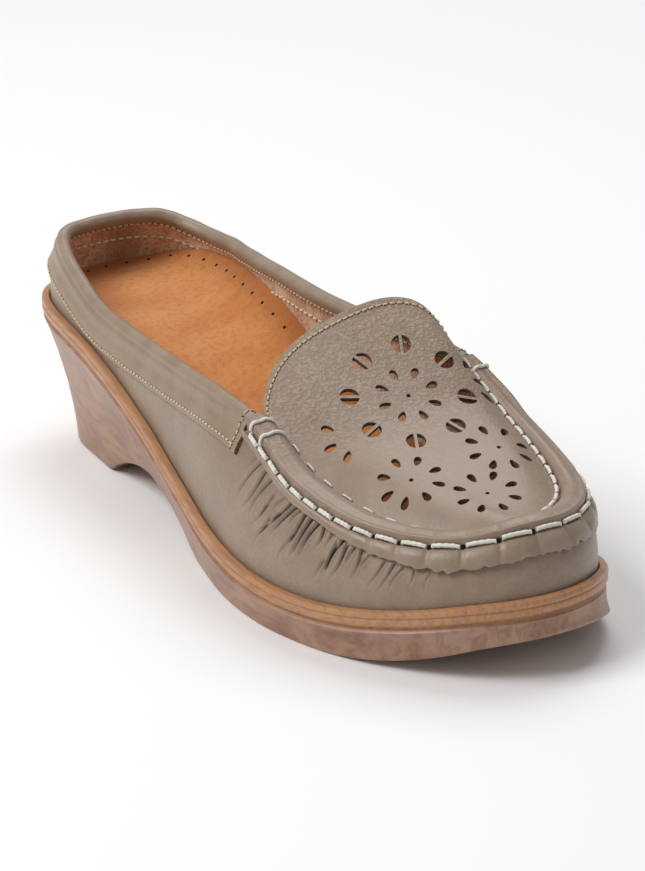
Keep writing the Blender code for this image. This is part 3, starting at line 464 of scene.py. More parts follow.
    def stations(self, steps: int) -> list[Station]:
        """Stations right round the outline, from the back by the lateral side."""
        return ([self.station(k / steps, Side.LATERAL) for k in range(steps + 1)]
                + [self.station(k / steps, Side.MEDIAL) for k in range(steps - 1, 0, -1)])


def catmull(points: Sequence[np.ndarray], per_span: int) -> np.ndarray:
    """Smooth row of points through control points.

    Args:
        points: control points.
        per_span: points made for each span.

    Returns:
        The points as rows, both end points among them.
    """
    p = np.array(points, float)
    p = np.vstack([2 * p[0] - p[1], p, 2 * p[-1] - p[-2]])
    knots = np.concatenate([[0.0], np.cumsum(np.sqrt(np.linalg.norm(np.diff(p, axis=0), axis=1)) + 1e-6)])
    made = []
    for k in range(1, len(p) - 2):
        a, b, c, d = p[k - 1:k + 3]
        t0, t1, t2, t3 = knots[k - 1:k + 3]
        for t in np.linspace(t1, t2, per_span, endpoint=False):
            e = ((t1 - t) * a + (t - t0) * b) / (t1 - t0)
            f = ((t2 - t) * b + (t - t1) * c) / (t2 - t1)
            g = ((t3 - t) * c + (t - t2) * d) / (t3 - t2)
            h = ((t2 - t) * e + (t - t0) * f) / (t2 - t0)
            i = ((t3 - t) * f + (t - t1) * g) / (t3 - t1)
            made.append(((t2 - t) * h + (t - t1) * i) / (t2 - t1))
    return np.array([*made, p[-2]])


def inside(point: Sequence[float], loop: np.ndarray) -> bool:
    """Say whether a plan point lies inside a loop.

    Args:
        point: the point.
        loop: corners of the loop, as rows.

    Returns:
        True if it does.
    """
    b = np.roll(loop, -1, axis=0)
    with np.errstate(divide="ignore", invalid="ignore"):
        at = loop[:, 0] + (point[1] - loop[:, 1]) * (b[:, 0] - loop[:, 0]) / (b[:, 1] - loop[:, 1])
    crosses = (loop[:, 1] > point[1]) != (b[:, 1] > point[1])
    return bool(np.count_nonzero(crosses & (point[0] < at)) % 2)


def surface_normals(grid: np.ndarray) -> np.ndarray:
    """Upward unit normals of a grid of points.

    Args:
        grid: points by station and row.

    Returns:
        The normals, in the same order.
    """
    normals = np.cross(np.gradient(grid, axis=0), np.gradient(grid, axis=1))
    normals /= np.linalg.norm(normals, axis=2)[:, :, None] + 1e-9
    return normals * np.where(normals[:, :, 2] < 0, -1, 1)[:, :, None]


def stand(name: str, data: Any) -> Object:
    """Put a new object with a mesh, lamp or camera in the scene.

    Args:
        name: name of the object.
        data: what it shows.

    Returns:
        The object.
    """
    item = bpy.data.objects.new(name, data)
    bpy.context.scene.collection.objects.link(item)
    return item


def applied(item: Object) -> Mesh:
    """Apply an object's modifiers, and remove them.

    Args:
        item: the object.

    Returns:
        The plain mesh that they make.
    """
    bpy.context.view_layer.update()
    mesh = bpy.data.meshes.new_from_object(item.evaluated_get(bpy.context.evaluated_depsgraph_get()))
    item.modifiers.clear()
    return mesh


def boolean(item: Object, cutter: Object, operation: str = "DIFFERENCE") -> None:
    """Apply a Boolean by another object, and remove that object.

    Args:
        item: object that changes.
        cutter: object that cuts or is added.
        operation: Boolean operation.
    """
    modifier = item.modifiers.new(cutter.name, "BOOLEAN")
    modifier.operation, modifier.solver, modifier.object = operation, "EXACT", cutter
    item.data = applied(item)
    bpy.data.objects.remove(cutter)


def settle(item: Object, node: str | None = None) -> None:
    """Let a finished piece ride on the shoe.

    Args:
        item: the piece, at the origin.
        node: CAD node that it stands for.
    """
    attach(item, "root")
    if node:
        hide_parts(node)
    LOG.info("%s: %d triangles", item.name, sum(len(p.vertices) - 2 for p in item.data.polygons))


class Sheet:
    """Mesh under construction in shoe coordinates, which becomes one object."""

    def __init__(self, last: Last) -> None:
        """Start an empty mesh for a last.

        Args:
            last: what turns shoe points into the frame's.
        """
        self.last = last
        self.data = bmesh.new()
        self.fold = self.data.verts.layers.float.new("fold")

    def points(self, places: Sequence[Sequence[float]],
               folds: Sequence[float] = ()) -> list[bmesh.types.BMVert]:
        """Add vertices.

        Args:
            places: shoe points.
            folds: how deep in a fold each one lies, from 0 to 1.

        Returns:
            The vertices.
        """
        made = [self.data.verts.new(self.last.world(p)) for p in places]
        for vertex, value in zip(made, folds):
            vertex[self.fold] = float(value)
        return made

    def face(self, corners: Sequence[bmesh.types.BMVert]) -> None:
        """Add a face, unless its corners fall together."""
        if len(kept := list(dict.fromkeys(corners))) > 2:
            self.data.faces.new(kept)

    def bridge(self, rows: Sequence[Any], closed: bool) -> None:
        """Join rows of vertices by faces.

        Args:
            rows: rows of equal count.
            closed: True where each row is a ring.
        """
        count = len(rows[0])
        for low, high in zip(rows, rows[1:]):
            for k in range(count if closed else count - 1):
                m = (k + 1) % count
                self.face((low[k], low[m], high[m], high[k]))

    def ladder(self, ring: Sequence[Any], shift: int = 0) -> None:
        """Close a ring of an even count with rungs between its two sides.

        Args:
            ring: the vertices.
            shift: how many corners the two sides are apart at the start.
        """
        count = len(ring)
        for k in range(count // 2 - shift):
            low, high = (count - k - 1 - shift) % count, (count - k - shift) % count
            self.face((ring[k], ring[k + 1], ring[low], ring[high]))

    def shell(self, outer: Sequence[Any], inner: Sequence[Any], closed: bool, folds: Any = None) -> None:
        """Closed body between an outer and an inner sheet that share their stations.

        Args:
            outer: section of the outer sheet at each station.
            inner: section of the inner sheet, its ends beside the outer one's.
            closed: True where the stations go right round.
            folds: depth in a fold of each outer point, from 0 to 1.
        """
        outer, inner = (np.array(part).transpose(1, 0, 2) for part in (outer, inner))
        folds = [()] * len(outer) if folds is None else np.array(folds).T
        out_rows = [self.points(row, own) for row, own in zip(outer, folds)]
        in_rows = [self.points(row) for row in inner]
        for rows in (out_rows, in_rows, [out_rows[0], in_rows[0]], [out_rows[-1], in_rows[-1]]):
            self.bridge(rows, closed)
        for end in () if closed else (0, -1):
            loop = [row[end] for row in out_rows] + [row[end] for row in reversed(in_rows)]
            # End faces take the second material; on the heel band that is the dark cut edge, which also
            # paints the shade of the gap at the tabs.
            self.data.faces.new(loop).material_index = 1

    def prism(self, low: Sequence[Any], high: Sequence[Any]) -> None:
        """Closed prism between two loops of shoe points.

        Args:
            low: one loop.
            high: the other, with as many points.
        """
        loops = [self.points(low), self.points(high)]
        self.bridge(loops, True)
        for loop in loops:
            self.face(loop)

    def make(self, name: str, materials: Sequence[Material] = (), sharp: float = 50.0,
             turn_normals: bool = True) -> Object:
        """Turn the mesh into an object.

        Args:
            name: name of the piece.
            materials: its materials, in slot order.
            sharp: angle in degrees from which an edge stays sharp.
            turn_normals: True to point the faces of a closed body outwards.

        Returns:
            The object, at the origin.
        """
        bmesh.ops.remove_doubles(self.data, verts=self.data.verts, dist=2e-6)
        bmesh.ops.dissolve_degenerate(self.data, edges=self.data.edges, dist=1e-7)
        if turn_normals:
            bmesh.ops.recalc_face_normals(self.data, faces=self.data.faces)
        mesh = bpy.data.meshes.new(name)
        self.data.to_mesh(mesh)
        self.data.free()
        for material in materials:
            mesh.materials.append(material)
        mesh.shade_smooth()
        mesh.set_sharp_from_angle(angle=math.radians(sharp))
        return stand(name, mesh)


class Graph:
    """Node tree under construction."""

    def __init__(self, tree: NodeTree) -> None:
        """Work on a tree."""
        self.tree = tree

    def feed(self, socket: NodeSocket, value: Any) -> None:
        """Link a socket to another, or set its value.

        Args:
            socket: the socket.
            value: another socket, a number, a vector or a colour.
        """
        if isinstance(value, NodeSocket):
            self.tree.links.new(value, socket)
        else:
            socket.default_value = (*value, 1.0) if socket.type == "RGBA" else value

    def node(self, kind: str, sockets: dict[Any, Any] | None = None, **settings: Any) -> Node:
        """Add a node.

        Args:
            kind: type of the node.
            sockets: what its inputs are fed with, by name or place.
            settings: its settings.

        Returns:
            The node.
        """
        made = self.tree.nodes.new(kind)
        for key, value in settings.items():
            setattr(made, key, value)
        for key, value in (sockets or {}).items():
            self.feed(made.inputs[key], value)
        return made

    def number(self, operation: str, first: Any, second: Any = 0.0) -> NodeSocket:
        """Arithmetic of two numbers."""
        return self.node("ShaderNodeMath", {0: first, 1: second}, operation=operation).outputs[0]

    def times(self, first: Any, second: Any) -> NodeSocket:
        """Product of two numbers."""
        return self.number("MULTIPLY", first, second)


class Paint(Graph):
    """Node graph of one material."""

    def __init__(self, name: str) -> None:
        """Start a material with its shader.

        Args:
            name: name of the material.
        """
        self.material = bpy.data.materials.new(name)
        self.material.use_nodes = True
        super().__init__(self.material.node_tree)
        self.place = self.node("ShaderNodeTexCoord").outputs["Object"]

    def stretched(self, scale: Colour, turn: Colour = (0.0, 0.0, 0.0)) -> NodeSocket:
        """Object coordinates scaled and turned along their axes."""
        sockets = {"Vector": self.place, "Scale": scale, "Rotation": turn}
        return self.node("ShaderNodeMapping", sockets).outputs["Vector"]

    def noise(self, size: float, detail: float = 3.0, rough: float = 0.55, warp: float = 0.0,
              place: Any = None, output: str = "Fac") -> NodeSocket:
        """Noise whose features are about a size in mm wide, about 0.5 on average.

        Args:
            size: width of a feature in mm.
            detail: how many finer layers it has.
            rough: strength of the finer layers.
            warp: how far it is distorted.
            place: coordinates, the object's own when left out.
            output: name of the socket.

        Returns:
            The socket.
        """
        return self.node("ShaderNodeTexNoise", {
            "Vector": place or self.place, "Scale": 1 / (size * MM), "Detail": detail, "Roughness": rough,
            "Distortion": warp}).outputs[output]

    def domes(self, size: float, wander: float, push: float, low: float) -> NodeSocket:
        """Pebbles about a size wide, high in their middles.

        Args:
            size: width of a pebble, in mm.
            wander: size of the noise that pushes them about, in mm.
            push: how far it pushes, in mm.
            low: distance from a middle that counts as the valley.

        Returns:
            Their height, from 0 to 1.
        """
        centred = self.node("ShaderNodeVectorMath", {0: self.noise(wander, 1.0, 0.5, output="Color"),
                                                     1: (0.5, 0.5, 0.5)}, operation="SUBTRACT").outputs[0]
        pushed = self.node("ShaderNodeVectorMath", {0: centred, "Scale": push * MM * 2},
                           operation="SCALE").outputs[0]
        place = self.node("ShaderNodeVectorMath", {0: self.place, 1: pushed}, operation="ADD").outputs[0]
        cells = self.node("ShaderNodeTexVoronoi", {"Vector": place, "Scale": 1 / (size * MM)},
                          feature="SMOOTH_F1")
        return self.ramp(cells.outputs["Distance"], low, 0.10)

    def ramp(self, value: Any, low: float, high: float, out_low: float = 0.0,
             out_high: float = 1.0) -> NodeSocket:
        """Smooth ramp of a value from one range to another."""
        sockets = {"Value": value, "From Min": low, "From Max": high, "To Min": out_low, "To Max": out_high}
        return self.node("ShaderNodeMapRange", sockets, interpolation_type="SMOOTHSTEP").outputs["Result"]

    def blend(self, share: Any, first: Any, second: Any) -> NodeSocket:
        """Mix of two colours by the share of the second."""
        return self.node("ShaderNodeMix", {0: share, 6: first, 7: second}, data_type="RGBA").outputs[2]

    def attribute(self, name: str) -> NodeSocket:
        """Value of a named attribute."""
        return self.node("ShaderNodeAttribute", attribute_name=name).outputs["Fac"]

    def bump(self, height: Any, depth: float, before: Any = None) -> NodeSocket:
        """Relief from a height, whose 1 stands for a depth in mm, on top of another relief.

        Args:
            height: what the relief follows.
            depth: depth in mm.
            before: relief that it adds to.

        Returns:
            The socket of the normal.
        """
        sockets = {"Strength": 1.0, "Distance": depth * MM, "Height": height,
                   **({"Normal": before} if before else {})}
        return self.node("ShaderNodeBump", sockets).outputs["Normal"]

    def finish(self, **values: Any) -> Material:
        """Feed the shader's sockets, whose words are joined by underscores.

        Args:
            values: what each socket is fed with.

        Returns:
            The material.
        """
        for name, value in values.items():
            self.feed(self.tree.nodes["Principled BSDF"].inputs[name.replace("_", " ")], value)
        return self.material


@dataclass(frozen=True)
class PebbledLeather:
    """Satin full-grain leather with soft pebbles, stronger where the attribute grain is high, and painted
    shade in its pebbles' valleys and in its creases.
    """

    name: str = "taupe_leather"
    colour: Colour = (0.292, 0.208, 0.145)
    deep: Colour = (0.190, 0.128, 0.086)
    pale: Colour = (0.340, 0.254, 0.184)
    # Colour of the painted shade in the creases.
    crease_shade: Colour = (0.070, 0.043, 0.028)
    pebble: float = 1.0
    relief: float = 0.15
    roughness: float = 0.43

    def material(self) -> Material:
        """Mix the leather.

        Returns:
            Its material.
        """
        paint = Paint(self.name)
        domes = paint.domes(self.pebble, 2.4, 0.9, 0.62)
        fine = paint.domes(self.pebble * 0.45, 1.0, 0.35, 0.60)
        soft = paint.noise(7.0, 3.0)
        strength = paint.ramp(paint.attribute("grain"), 0.0, 1.0, 0.12, 1.0)
        # Mask of the valleys between the pebbles: it paints shade there and also roughens them.
        valley = paint.times(paint.ramp(domes, 0.75, 0.0, 0.0, 0.5), strength)
        colour = paint.blend(paint.ramp(paint.noise(30.0, 2.0), 0.30, 0.72, 0.0, 0.7), self.colour, self.pale)
        colour = paint.blend(paint.ramp(soft, 0.62, 0.36, 0.0, 0.30), colour, self.deep)
        # Painted shade: the valleys between the pebbles darkened towards deep.
        colour = paint.blend(valley, colour, self.deep)
        # Painted shade in the wall's creases, by their depth, which the attribute fold holds.
        colour = paint.blend(paint.ramp(paint.attribute("fold"), 0.0, 1.0), colour, self.crease_shade)
        relief = paint.bump(paint.times(domes, strength), self.relief)
        relief = paint.bump(paint.times(fine, strength), self.relief * 0.45, relief)
        relief = paint.bump(paint.noise(0.35, 2.0), 0.03, relief)
        rough = paint.number("ADD", paint.ramp(soft, 0.3, 0.7, self.roughness - 0.05, self.roughness + 0.06),
                             paint.times(valley, 0.25))
        return paint.finish(Base_Color=colour, Roughness=rough, Normal=paint.bump(soft, 0.20, relief),
                            Coat_Weight=0.20, Coat_Roughness=0.30, Sheen_Weight=0.05, Sheen_Roughness=0.5,
                            Specular_IOR_Level=0.5)


@dataclass(frozen=True)
class Nubuck:
    """Short-napped leather or suede with speckles, and painted shade darkening it where its shade attribute
    is high.
    """

    name: str
    colour: Colour
    deep: Colour
    pale: Colour
    fibre: float = 0.55
    relief: float = 0.10
    speckle: float = 0.0
    roughness: float = 0.88

    def material(self) -> Material:
        """Mix the nap.

        Returns:
            Its material.
        """
        paint, more = Paint(self.name), self.speckle
        specks = paint.noise(self.fibre, 3.0, 0.7)
        mottle = paint.noise(self.fibre * 3.2, 3.0, 0.6)
        colour = paint.blend(paint.ramp(paint.noise(22.0, 3.0), 0.32, 0.68), self.colour, self.pale)
        for share, other in ((paint.ramp(mottle, 0.56, 0.34, 0.0, 0.30), self.deep),
                             (paint.ramp(specks, 0.62 - more, 0.76 - more, 0.0, 0.75), self.pale),
                             (paint.ramp(specks, 0.42 + more, 0.28 + more, 0.0, 0.75), self.deep),
                             # Painted shade, by the shade attribute.
                             (paint.ramp(paint.attribute("painted_shade"), 0.0, 1.0, 0.0, 0.85), self.deep)):
            colour = paint.blend(share, colour, other)
        relief = paint.bump(mottle, self.relief * 1.6, paint.bump(specks, self.relief))
        rough = paint.ramp(mottle, 0.3, 0.7, self.roughness - 0.06, self.roughness + 0.06)
        return paint.finish(Base_Color=colour, Roughness=rough, Normal=relief, Sheen_Weight=0.35,
                            Sheen_Roughness=0.45, Specular_IOR_Level=0.25)


@dataclass(frozen=True)
class SoleCompound:
    """Moulded compound with the look of lacquered wood: orange rim, pinkish wall, mottled heel."""

    name: str = "wood_look_compound"
    rim: Colour = (0.48, 0.235, 0.105)
    wall: Colour = (0.345, 0.180, 0.112)
    stain: Colour = (0.225, 0.100, 0.058)
    pale: Colour = (0.405, 0.245, 0.165)
    roughness: float = 0.42

    def material(self) -> Material:
        """Mix the compound.

        Returns:
            Its material.
        """
        paint = Paint(self.name)
        fibres = paint.noise(1.0, 4.0, 0.6, 0.3, paint.stretched((1.0, 0.07, 0.5)))
        streaks = paint.noise(3.4, 5.0, 0.65, 1.2, paint.stretched((1.0, 0.10, 0.55), (0.25, 0.0, 0.0)))
        cloud = paint.noise(17.0, 4.0, 0.6, 0.8)
        wall = paint.blend(paint.ramp(cloud, 0.34, 0.66), self.wall, self.pale)
        wall = paint.blend(paint.ramp(streaks, 0.55, 0.36, 0.0, 0.55), wall, self.stain)
        wall = paint.blend(paint.times(paint.ramp(cloud, 0.56, 0.36),
                                       paint.ramp(fibres, 0.35, 0.6, 0.2, 0.75)),
                           wall, self.stain)
        rim = paint.blend(paint.ramp(fibres, 0.58, 0.34, 0.0, 0.45), self.rim, self.stain)
        rim = paint.blend(paint.ramp(streaks, 0.52, 0.70, 0.0, 0.5), rim, self.pale)
        relief = paint.bump(paint.noise(0.45, 2.0), 0.03, paint.bump(fibres, 0.07))
        rough = paint.ramp(cloud, 0.3, 0.7, self.roughness - 0.06, self.roughness + 0.10)
        return paint.finish(Base_Color=paint.blend(paint.attribute("rim"), wall, rim), Roughness=rough,
                            Normal=relief, Coat_Weight=0.18, Coat_Roughness=0.25)


@dataclass(frozen=True)
class Thread:
    """Twisted sewing thread."""

    name: str
    colour: Colour
    shade: Colour

    def material(self) -> Material:
        """Mix the thread.

        Returns:
            Its material.
        """
        paint = Paint(self.name)
        fibres = paint.noise(0.30, 3.0)
        colour = paint.blend(paint.ramp(fibres, 0.36, 0.60, 0.45, 0.0), self.colour, self.shade)
        colour = paint.blend(paint.ramp(paint.noise(4.0, 2.0), 0.60, 0.75, 0.0, 0.35), colour, self.shade)
        return paint.finish(Base_Color=colour, Roughness=0.6, Normal=paint.bump(fibres, 0.05),
                            Sheen_Weight=0.25)


@dataclass(frozen=True)
class Dark:
    """Dark material: painted shade inside a hole, or the cut edge of the leather, which at the heel band's
    ends also paints the shade of the gap.
    """

    name: str
    colour: Colour

    def material(self) -> Material:
        """Mix the dark part.

        Returns:
            Its material.
        """
        paint = Paint(self.name)
        fibres = paint.noise(0.5, 3.0)
        colour = paint.blend(paint.ramp(fibres, 0.4, 0.65), tuple(c * 0.45 for c in self.colour), self.colour)
        return paint.finish(Base_Color=colour, Roughness=0.9, Normal=paint.bump(fibres, 0.12),
                            Specular_IOR_Level=0.2)


class Tree(Graph):
    """Geometry Nodes tree with named inputs that ends in Realize Instances and Set Material."""

    def __init__(self, name: str, **sizes: str) -> None:
        """Start a tree.

        Args:
            name: name of the tree.
            sizes: kind of each input besides the geometry and the finish, Float or Int.
        """
        super().__init__(bpy.data.node_groups.new(name, "GeometryNodeTree"))
        for label, kind in {"Geometry": "Geometry", **sizes, "Finish": "Material"}.items():
            self.tree.interface.new_socket(label, in_out="INPUT", socket_type="NodeSocket" + kind)
        self.tree.interface.new_socket("Geometry", in_out="OUTPUT", socket_type="NodeSocketGeometry")
        self.inputs = self.tree.nodes.new("NodeGroupInput").outputs

    def made(self, kind: str, sockets: dict[Any, Any], **settings: Any) -> NodeSocket:
        """First output of a new geometry node."""
        return self.node("GeometryNode" + kind, sockets, **settings).outputs[0]

    def named(self, name: str, kind: str) -> NodeSocket:
        """Named attribute of the input geometry."""
        found = self.node("GeometryNodeInputNamedAttribute", {"Name": name}, data_type=kind)
        return found.outputs["Attribute"]

    def ring(self) -> NodeSocket:
        """Round section of a thread."""
        return self.made("CurvePrimitiveCircle", {"Resolution": self.inputs["Sides"],
                                                  "Radius": self.times(self.inputs["Diameter"], 0.5)})

    def lay(self, item: NodeSocket, size: dict[str, Any]) -> GeometryNodeTree:
        """Set a copy on each point, X along the attribute run and Z along out, and end the tree.

        Args:
            item: what is copied.
            size: its scale along each axis.

        Returns:
            The tree.
        """
        turn = self.node("FunctionNodeAlignRotationToVector",
                         {"Vector": self.named("run", "FLOAT_VECTOR")}, axis="X")
        turn = self.node("FunctionNodeAlignRotationToVector", {
            "Rotation": turn.outputs[0], "Vector": self.named("out", "FLOAT_VECTOR")},
            axis="Z", pivot_axis="X")
        scale = self.node("ShaderNodeCombineXYZ", size).outputs[0]
        return self.close(self.made("InstanceOnPoints", {
            "Points": self.inputs["Geometry"], "Instance": item,
            "Rotation": turn.outputs[0], "Scale": scale}))

    def close(self, geometry: NodeSocket) -> GeometryNodeTree:
        """End the tree: realize, smooth, set the material.

        Args:
            geometry: what the tree made.

        Returns:
            The tree.
        """
        real = self.made("RealizeInstances", {"Geometry": geometry})
        smooth = self.made("SetShadeSmooth", {"Geometry": real})
        dressed = self.made("SetMaterial", {"Geometry": smooth, "Material": self.inputs["Finish"]})
        self.tree.links.new(dressed, self.tree.nodes.new("NodeGroupOutput").inputs[0])
        return self.tree


def stitch_tree() -> GeometryNodeTree:
    """Make the tree that lays one bent, twisted length of thread at each point of a row.

    Returns:
        The tree.
    """
    t = Tree("laid_stitches", Diameter="Float", Bow="Float", Twist="Float", Points="Int", Sides="Int")
    line = t.made("CurvePrimitiveLine", {"Start": (-0.5, 0, 0), "End": (0.5, 0, 0)})
    line = t.made("ResampleCurve", {"Curve": line, "Count": t.inputs["Points"]})
    share = t.made("SplineParameter", {})
    end = t.number("POWER", t.number("ABSOLUTE", t.number("SUBTRACT", t.times(share, 2.0), 1.0)), 4.0)
    lift = t.node("ShaderNodeCombineXYZ", {"Z": t.times(t.number("SUBTRACT", 0.75, end), t.inputs["Bow"])})
    line = t.made("SetPosition", {"Geometry": line, "Offset": lift.outputs[0]})
    line = t.made("SetCurveTilt", {"Curve": line, "Tilt": t.times(share, t.inputs["Twist"])})
    line = t.made("SetCurveRadius", {"Curve": line, "Radius": t.number("SUBTRACT", 1.0, t.times(end, 0.45))})
    flat = t.made("Transform", {"Geometry": t.ring(), "Scale": (1.0, 0.84, 1.0)})
    thread = t.made("CurveToMesh", {"Curve": line, "Profile Curve": flat, "Fill Caps": True})
    return t.lay(thread, {"X": t.named("span", "FLOAT"), "Y": 1.0, "Z": 1.0})


def stud_tree() -> GeometryNodeTree:
    """Make the tree that sets one low, round or diamond-shaped stud at each point.

    Returns:
        The tree.
    """
    t = Tree("set_studs", Length="Float", Width="Float", Height="Float", Sides="Int", Top="Float")
    cone = t.made("MeshCone", {"Vertices": t.inputs["Sides"], "Radius Top": t.inputs["Top"],
                               "Radius Bottom": 0.5, "Depth": 1.0})
    return t.lay(cone, {"X": t.inputs["Length"], "Y": t.inputs["Width"], "Z": t.inputs["Height"]})


def tube_tree() -> GeometryNodeTree:
    """Make the tree that sweeps a round thread along the lines of a mesh.

    Returns:
        The tree.
    """
    t = Tree("swept_thread", Diameter="Float", Sides="Int")
    line = t.made("MeshToCurve", {"Mesh": t.inputs["Geometry"]})
    return t.close(t.made("CurveToMesh", {"Curve": line, "Profile Curve": t.ring(), "Fill Caps": True}))


@dataclass
class Row:
    """Line on the shoe that stitches or holes follow, with the outward direction at each point."""

    last: Last
    points: np.ndarray
    outs: np.ndarray

    def lengths(self) -> np.ndarray:
        """Way along the row to each of its points."""
        return np.concatenate([[0.0], np.cumsum(np.linalg.norm(np.diff(self.points, axis=0), axis=1))])

    def at(self, way: np.ndarray) -> tuple[np.ndarray, np.ndarray]:
        """Points and outward directions at ways along the row.

        Args:
            way: ways along the row, in mm.

        Returns:
            The points and the unit directions, as rows.
        """
        own = self.lengths()
        points, outs = (np.stack([np.interp(way, own, values[:, k]) for k in range(3)], axis=-1)
                        for values in (self.points, self.outs))
        return points, unit(outs)

    def even_holes(self, pitch: float, first: float = 0.0, last: float = 0.0) -> np.ndarray:
        """Ways of evenly spaced holes, with some way left free at the start and at the end."""
        total = self.lengths()[-1] - last
        return np.linspace(first, total, max(int(round((total - first) / pitch)), 1) + 1)

    def path_mesh(self, points: np.ndarray, runs: np.ndarray, outs: np.ndarray, spans: np.ndarray) -> Mesh:
        """Mesh of points with what the trees need to know at each.

        Args:
            points: places.
            runs: directions along the row.
            outs: directions out of the surface.
            spans: lengths of the stitches.

        Returns:
            The mesh.
        """
        mesh = bpy.data.meshes.new("row")
        mesh.from_pydata([self.last.world(p) for p in points], [], [])
        for name, values in (("run", runs), ("out", outs)):
            turned = np.stack([-values[:, 1], -values[:, 0], values[:, 2]], axis=-1).astype(np.float32)
            mesh.attributes.new(name, "FLOAT_VECTOR", "POINT").data.foreach_set("vector", turned.ravel())
        layer = mesh.attributes.new("span", "FLOAT", "POINT")
        layer.data.foreach_set("value", np.array(spans, np.float32) * MM)
        return mesh


@dataclass(frozen=True)
class Stitch:
    """Kind of stitch: its thread, and sizes in mm or as a share of the space between two holes."""

    thread: Material
    diameter: float
    share: float = 0.8
    bow: float = 0.5
    sink: float = 0.1
    slant: float = 0.0
    fine: bool = True


@dataclass(frozen=True)
class Hole:
    """Kind of dark stud that paints the shade of a stitch hole or dot: its sizes in mm and its corners."""

    width: float
    lift: float = 0.02
    sides: int = 8
    length: float | None = None
    height: float = 0.5


class Workbench:
    """Leathers, threads and stitching that all sub-assemblies share."""

    def __init__(self, last: Last) -> None:
        """Mix each finish and build each tree once.

        Args:
            last: what gives the sizes.
        """
        self.last = last
        self.stitches, self.studs, self.tubes = stitch_tree(), stud_tree(), tube_tree()
        self.leather = PebbledLeather().material()
        self.nubuck = Nubuck("footbed_nubuck", (0.540, 0.190, 0.048), (0.300, 0.088, 0.020),
                             (0.620, 0.255, 0.080)).material()
        self.suede = Nubuck("lining_suede", (0.58, 0.310, 0.175), (0.200, 0.090, 0.045), (0.82, 0.60, 0.44),
                            0.85, 0.26, 0.06).material()
        self.compound = SoleCompound().material()
        self.cut_edge = Dark("cut_leather_edge", (0.20, 0.15, 0.11)).material()
        # Near-black spots that paint the shade inside stitch holes and punched dots.
        self.dark = Dark("hole_inside", (0.018, 0.012, 0.009)).material()
        self.white = Thread("saddle_thread", (0.80, 0.78, 0.70), (0.46, 0.42, 0.34)).material()
        self.yellow = Thread("yellow_thread", (0.66, 0.52, 0.29), (0.36, 0.26, 0.14)).material()
        self.gold = Thread("gold_thread", (0.85, 0.72, 0.50), (0.50, 0.34, 0.18)).material()

    def grow(self, name: str, slot: str, mesh: Mesh, tree: GeometryNodeTree, **sizes: Any) -> None:
        """Run a tree on a mesh, keep the result as a plain mesh and let it ride.

        Args:
            name: name of the piece.
            slot: not used.
            mesh: points or lines that the tree works on.
            tree: the tree.
            sizes: value of each named input.
        """
        source = stand(name + "_path", mesh)
        modifier = source.modifiers.new("grow", "NODES")
        modifier.node_group = tree
        for item in tree.interface.items_tree:
            if item.in_out == "INPUT" and item.name in sizes:
                modifier[item.identifier] = sizes[item.name]
        made = applied(source)
        bpy.data.objects.remove(source)
        made.name = name
        settle(stand(name, made))

    def sew(self, name: str, slot: str, row: Row, ways: np.ndarray, kind: Stitch,
            hole: Hole | None = None) -> None:
        """Lay one stitch between each two holes of a row.

        Args:
            name: name of the piece.
            slot: name of the part, passed on to grow.
            row: line that the stitches follow.
            ways: ways of the holes along the row, in mm.
            kind: kind of stitch.
            hole: kind of hole, where the holes show.
        """
        a, b = row.at(ways[:-1])[0], row.at(ways[1:])[0]
        middle, outs = row.at((ways[:-1] + ways[1:]) / 2)
        spans = np.linalg.norm(b - a, axis=1)
        runs = (b - a) / spans[:, None]
        runs = runs + np.cross(outs, runs) * kind.slant
        middle = middle + outs * (kind.diameter * 0.3 - kind.sink)
        mesh = row.path_mesh(middle, runs, outs, spans * kind.share)
        self.grow(name, slot, mesh, self.stitches, Diameter=kind.diameter * MM, Bow=kind.bow * MM,
                  Twist=0.0 if kind.fine else 13.0, Points=5 if kind.fine else 21,
                  Sides=5 if kind.fine else 10, Finish=kind.thread)
        if hole:
            self.prick(name + "_holes", slot, row, ways, hole)

    def prick(self, name: str, slot: str, row: Row, ways: np.ndarray, hole: Hole) -> None:
        """Set one dark round spot at each hole of a row, as painted shade in the hole.

        Args:
            name: name of the piece.
            slot: name of the part, passed on to grow.
            row: line that the holes lie on.
            ways: ways of the holes along the row, in mm.
            hole: kind of hole.
        """
        points, outs = row.at(ways)
        runs = row.at(ways + 0.2)[0] - row.at(ways - 0.2)[0]
        mesh = row.path_mesh(points + outs * (hole.lift - hole.height), runs, outs, np.ones(len(ways)))
        self.grow(name, slot, mesh, self.studs,
                  Length=(hole.length or hole.width) * MM, Width=hole.width * MM,
                  Height=hole.height * MM, Sides=hole.sides, Top=0.42, Finish=self.dark)

    def sweep(self, name: str, slot: str, lines: Sequence[np.ndarray], diameter: float, finish: Material,
              closed: bool = False, sides: int = 8) -> None:
        """Lay a round thread or rib along lines.

        Args:
            name: name of the piece.
            slot: name of the part, passed on to grow.
            lines: rows of shoe points.
            diameter: its thickness, in mm.
            finish: its material.
            closed: True where each line is a ring.
            sides: corners of its section.
        """
        places, edges = [], []
        for line in lines:
            first = len(places)
            places += [self.last.world(p) for p in line]
            edges += [(k, k + 1) for k in range(first, len(places) - 1)]
            edges += [(len(places) - 1, first)] if closed else []
        mesh = bpy.data.meshes.new(name)
        mesh.from_pydata(places, edges, [])
        self.grow(name, slot, mesh, self.tubes, Diameter=diameter * MM, Sides=sides, Finish=finish)


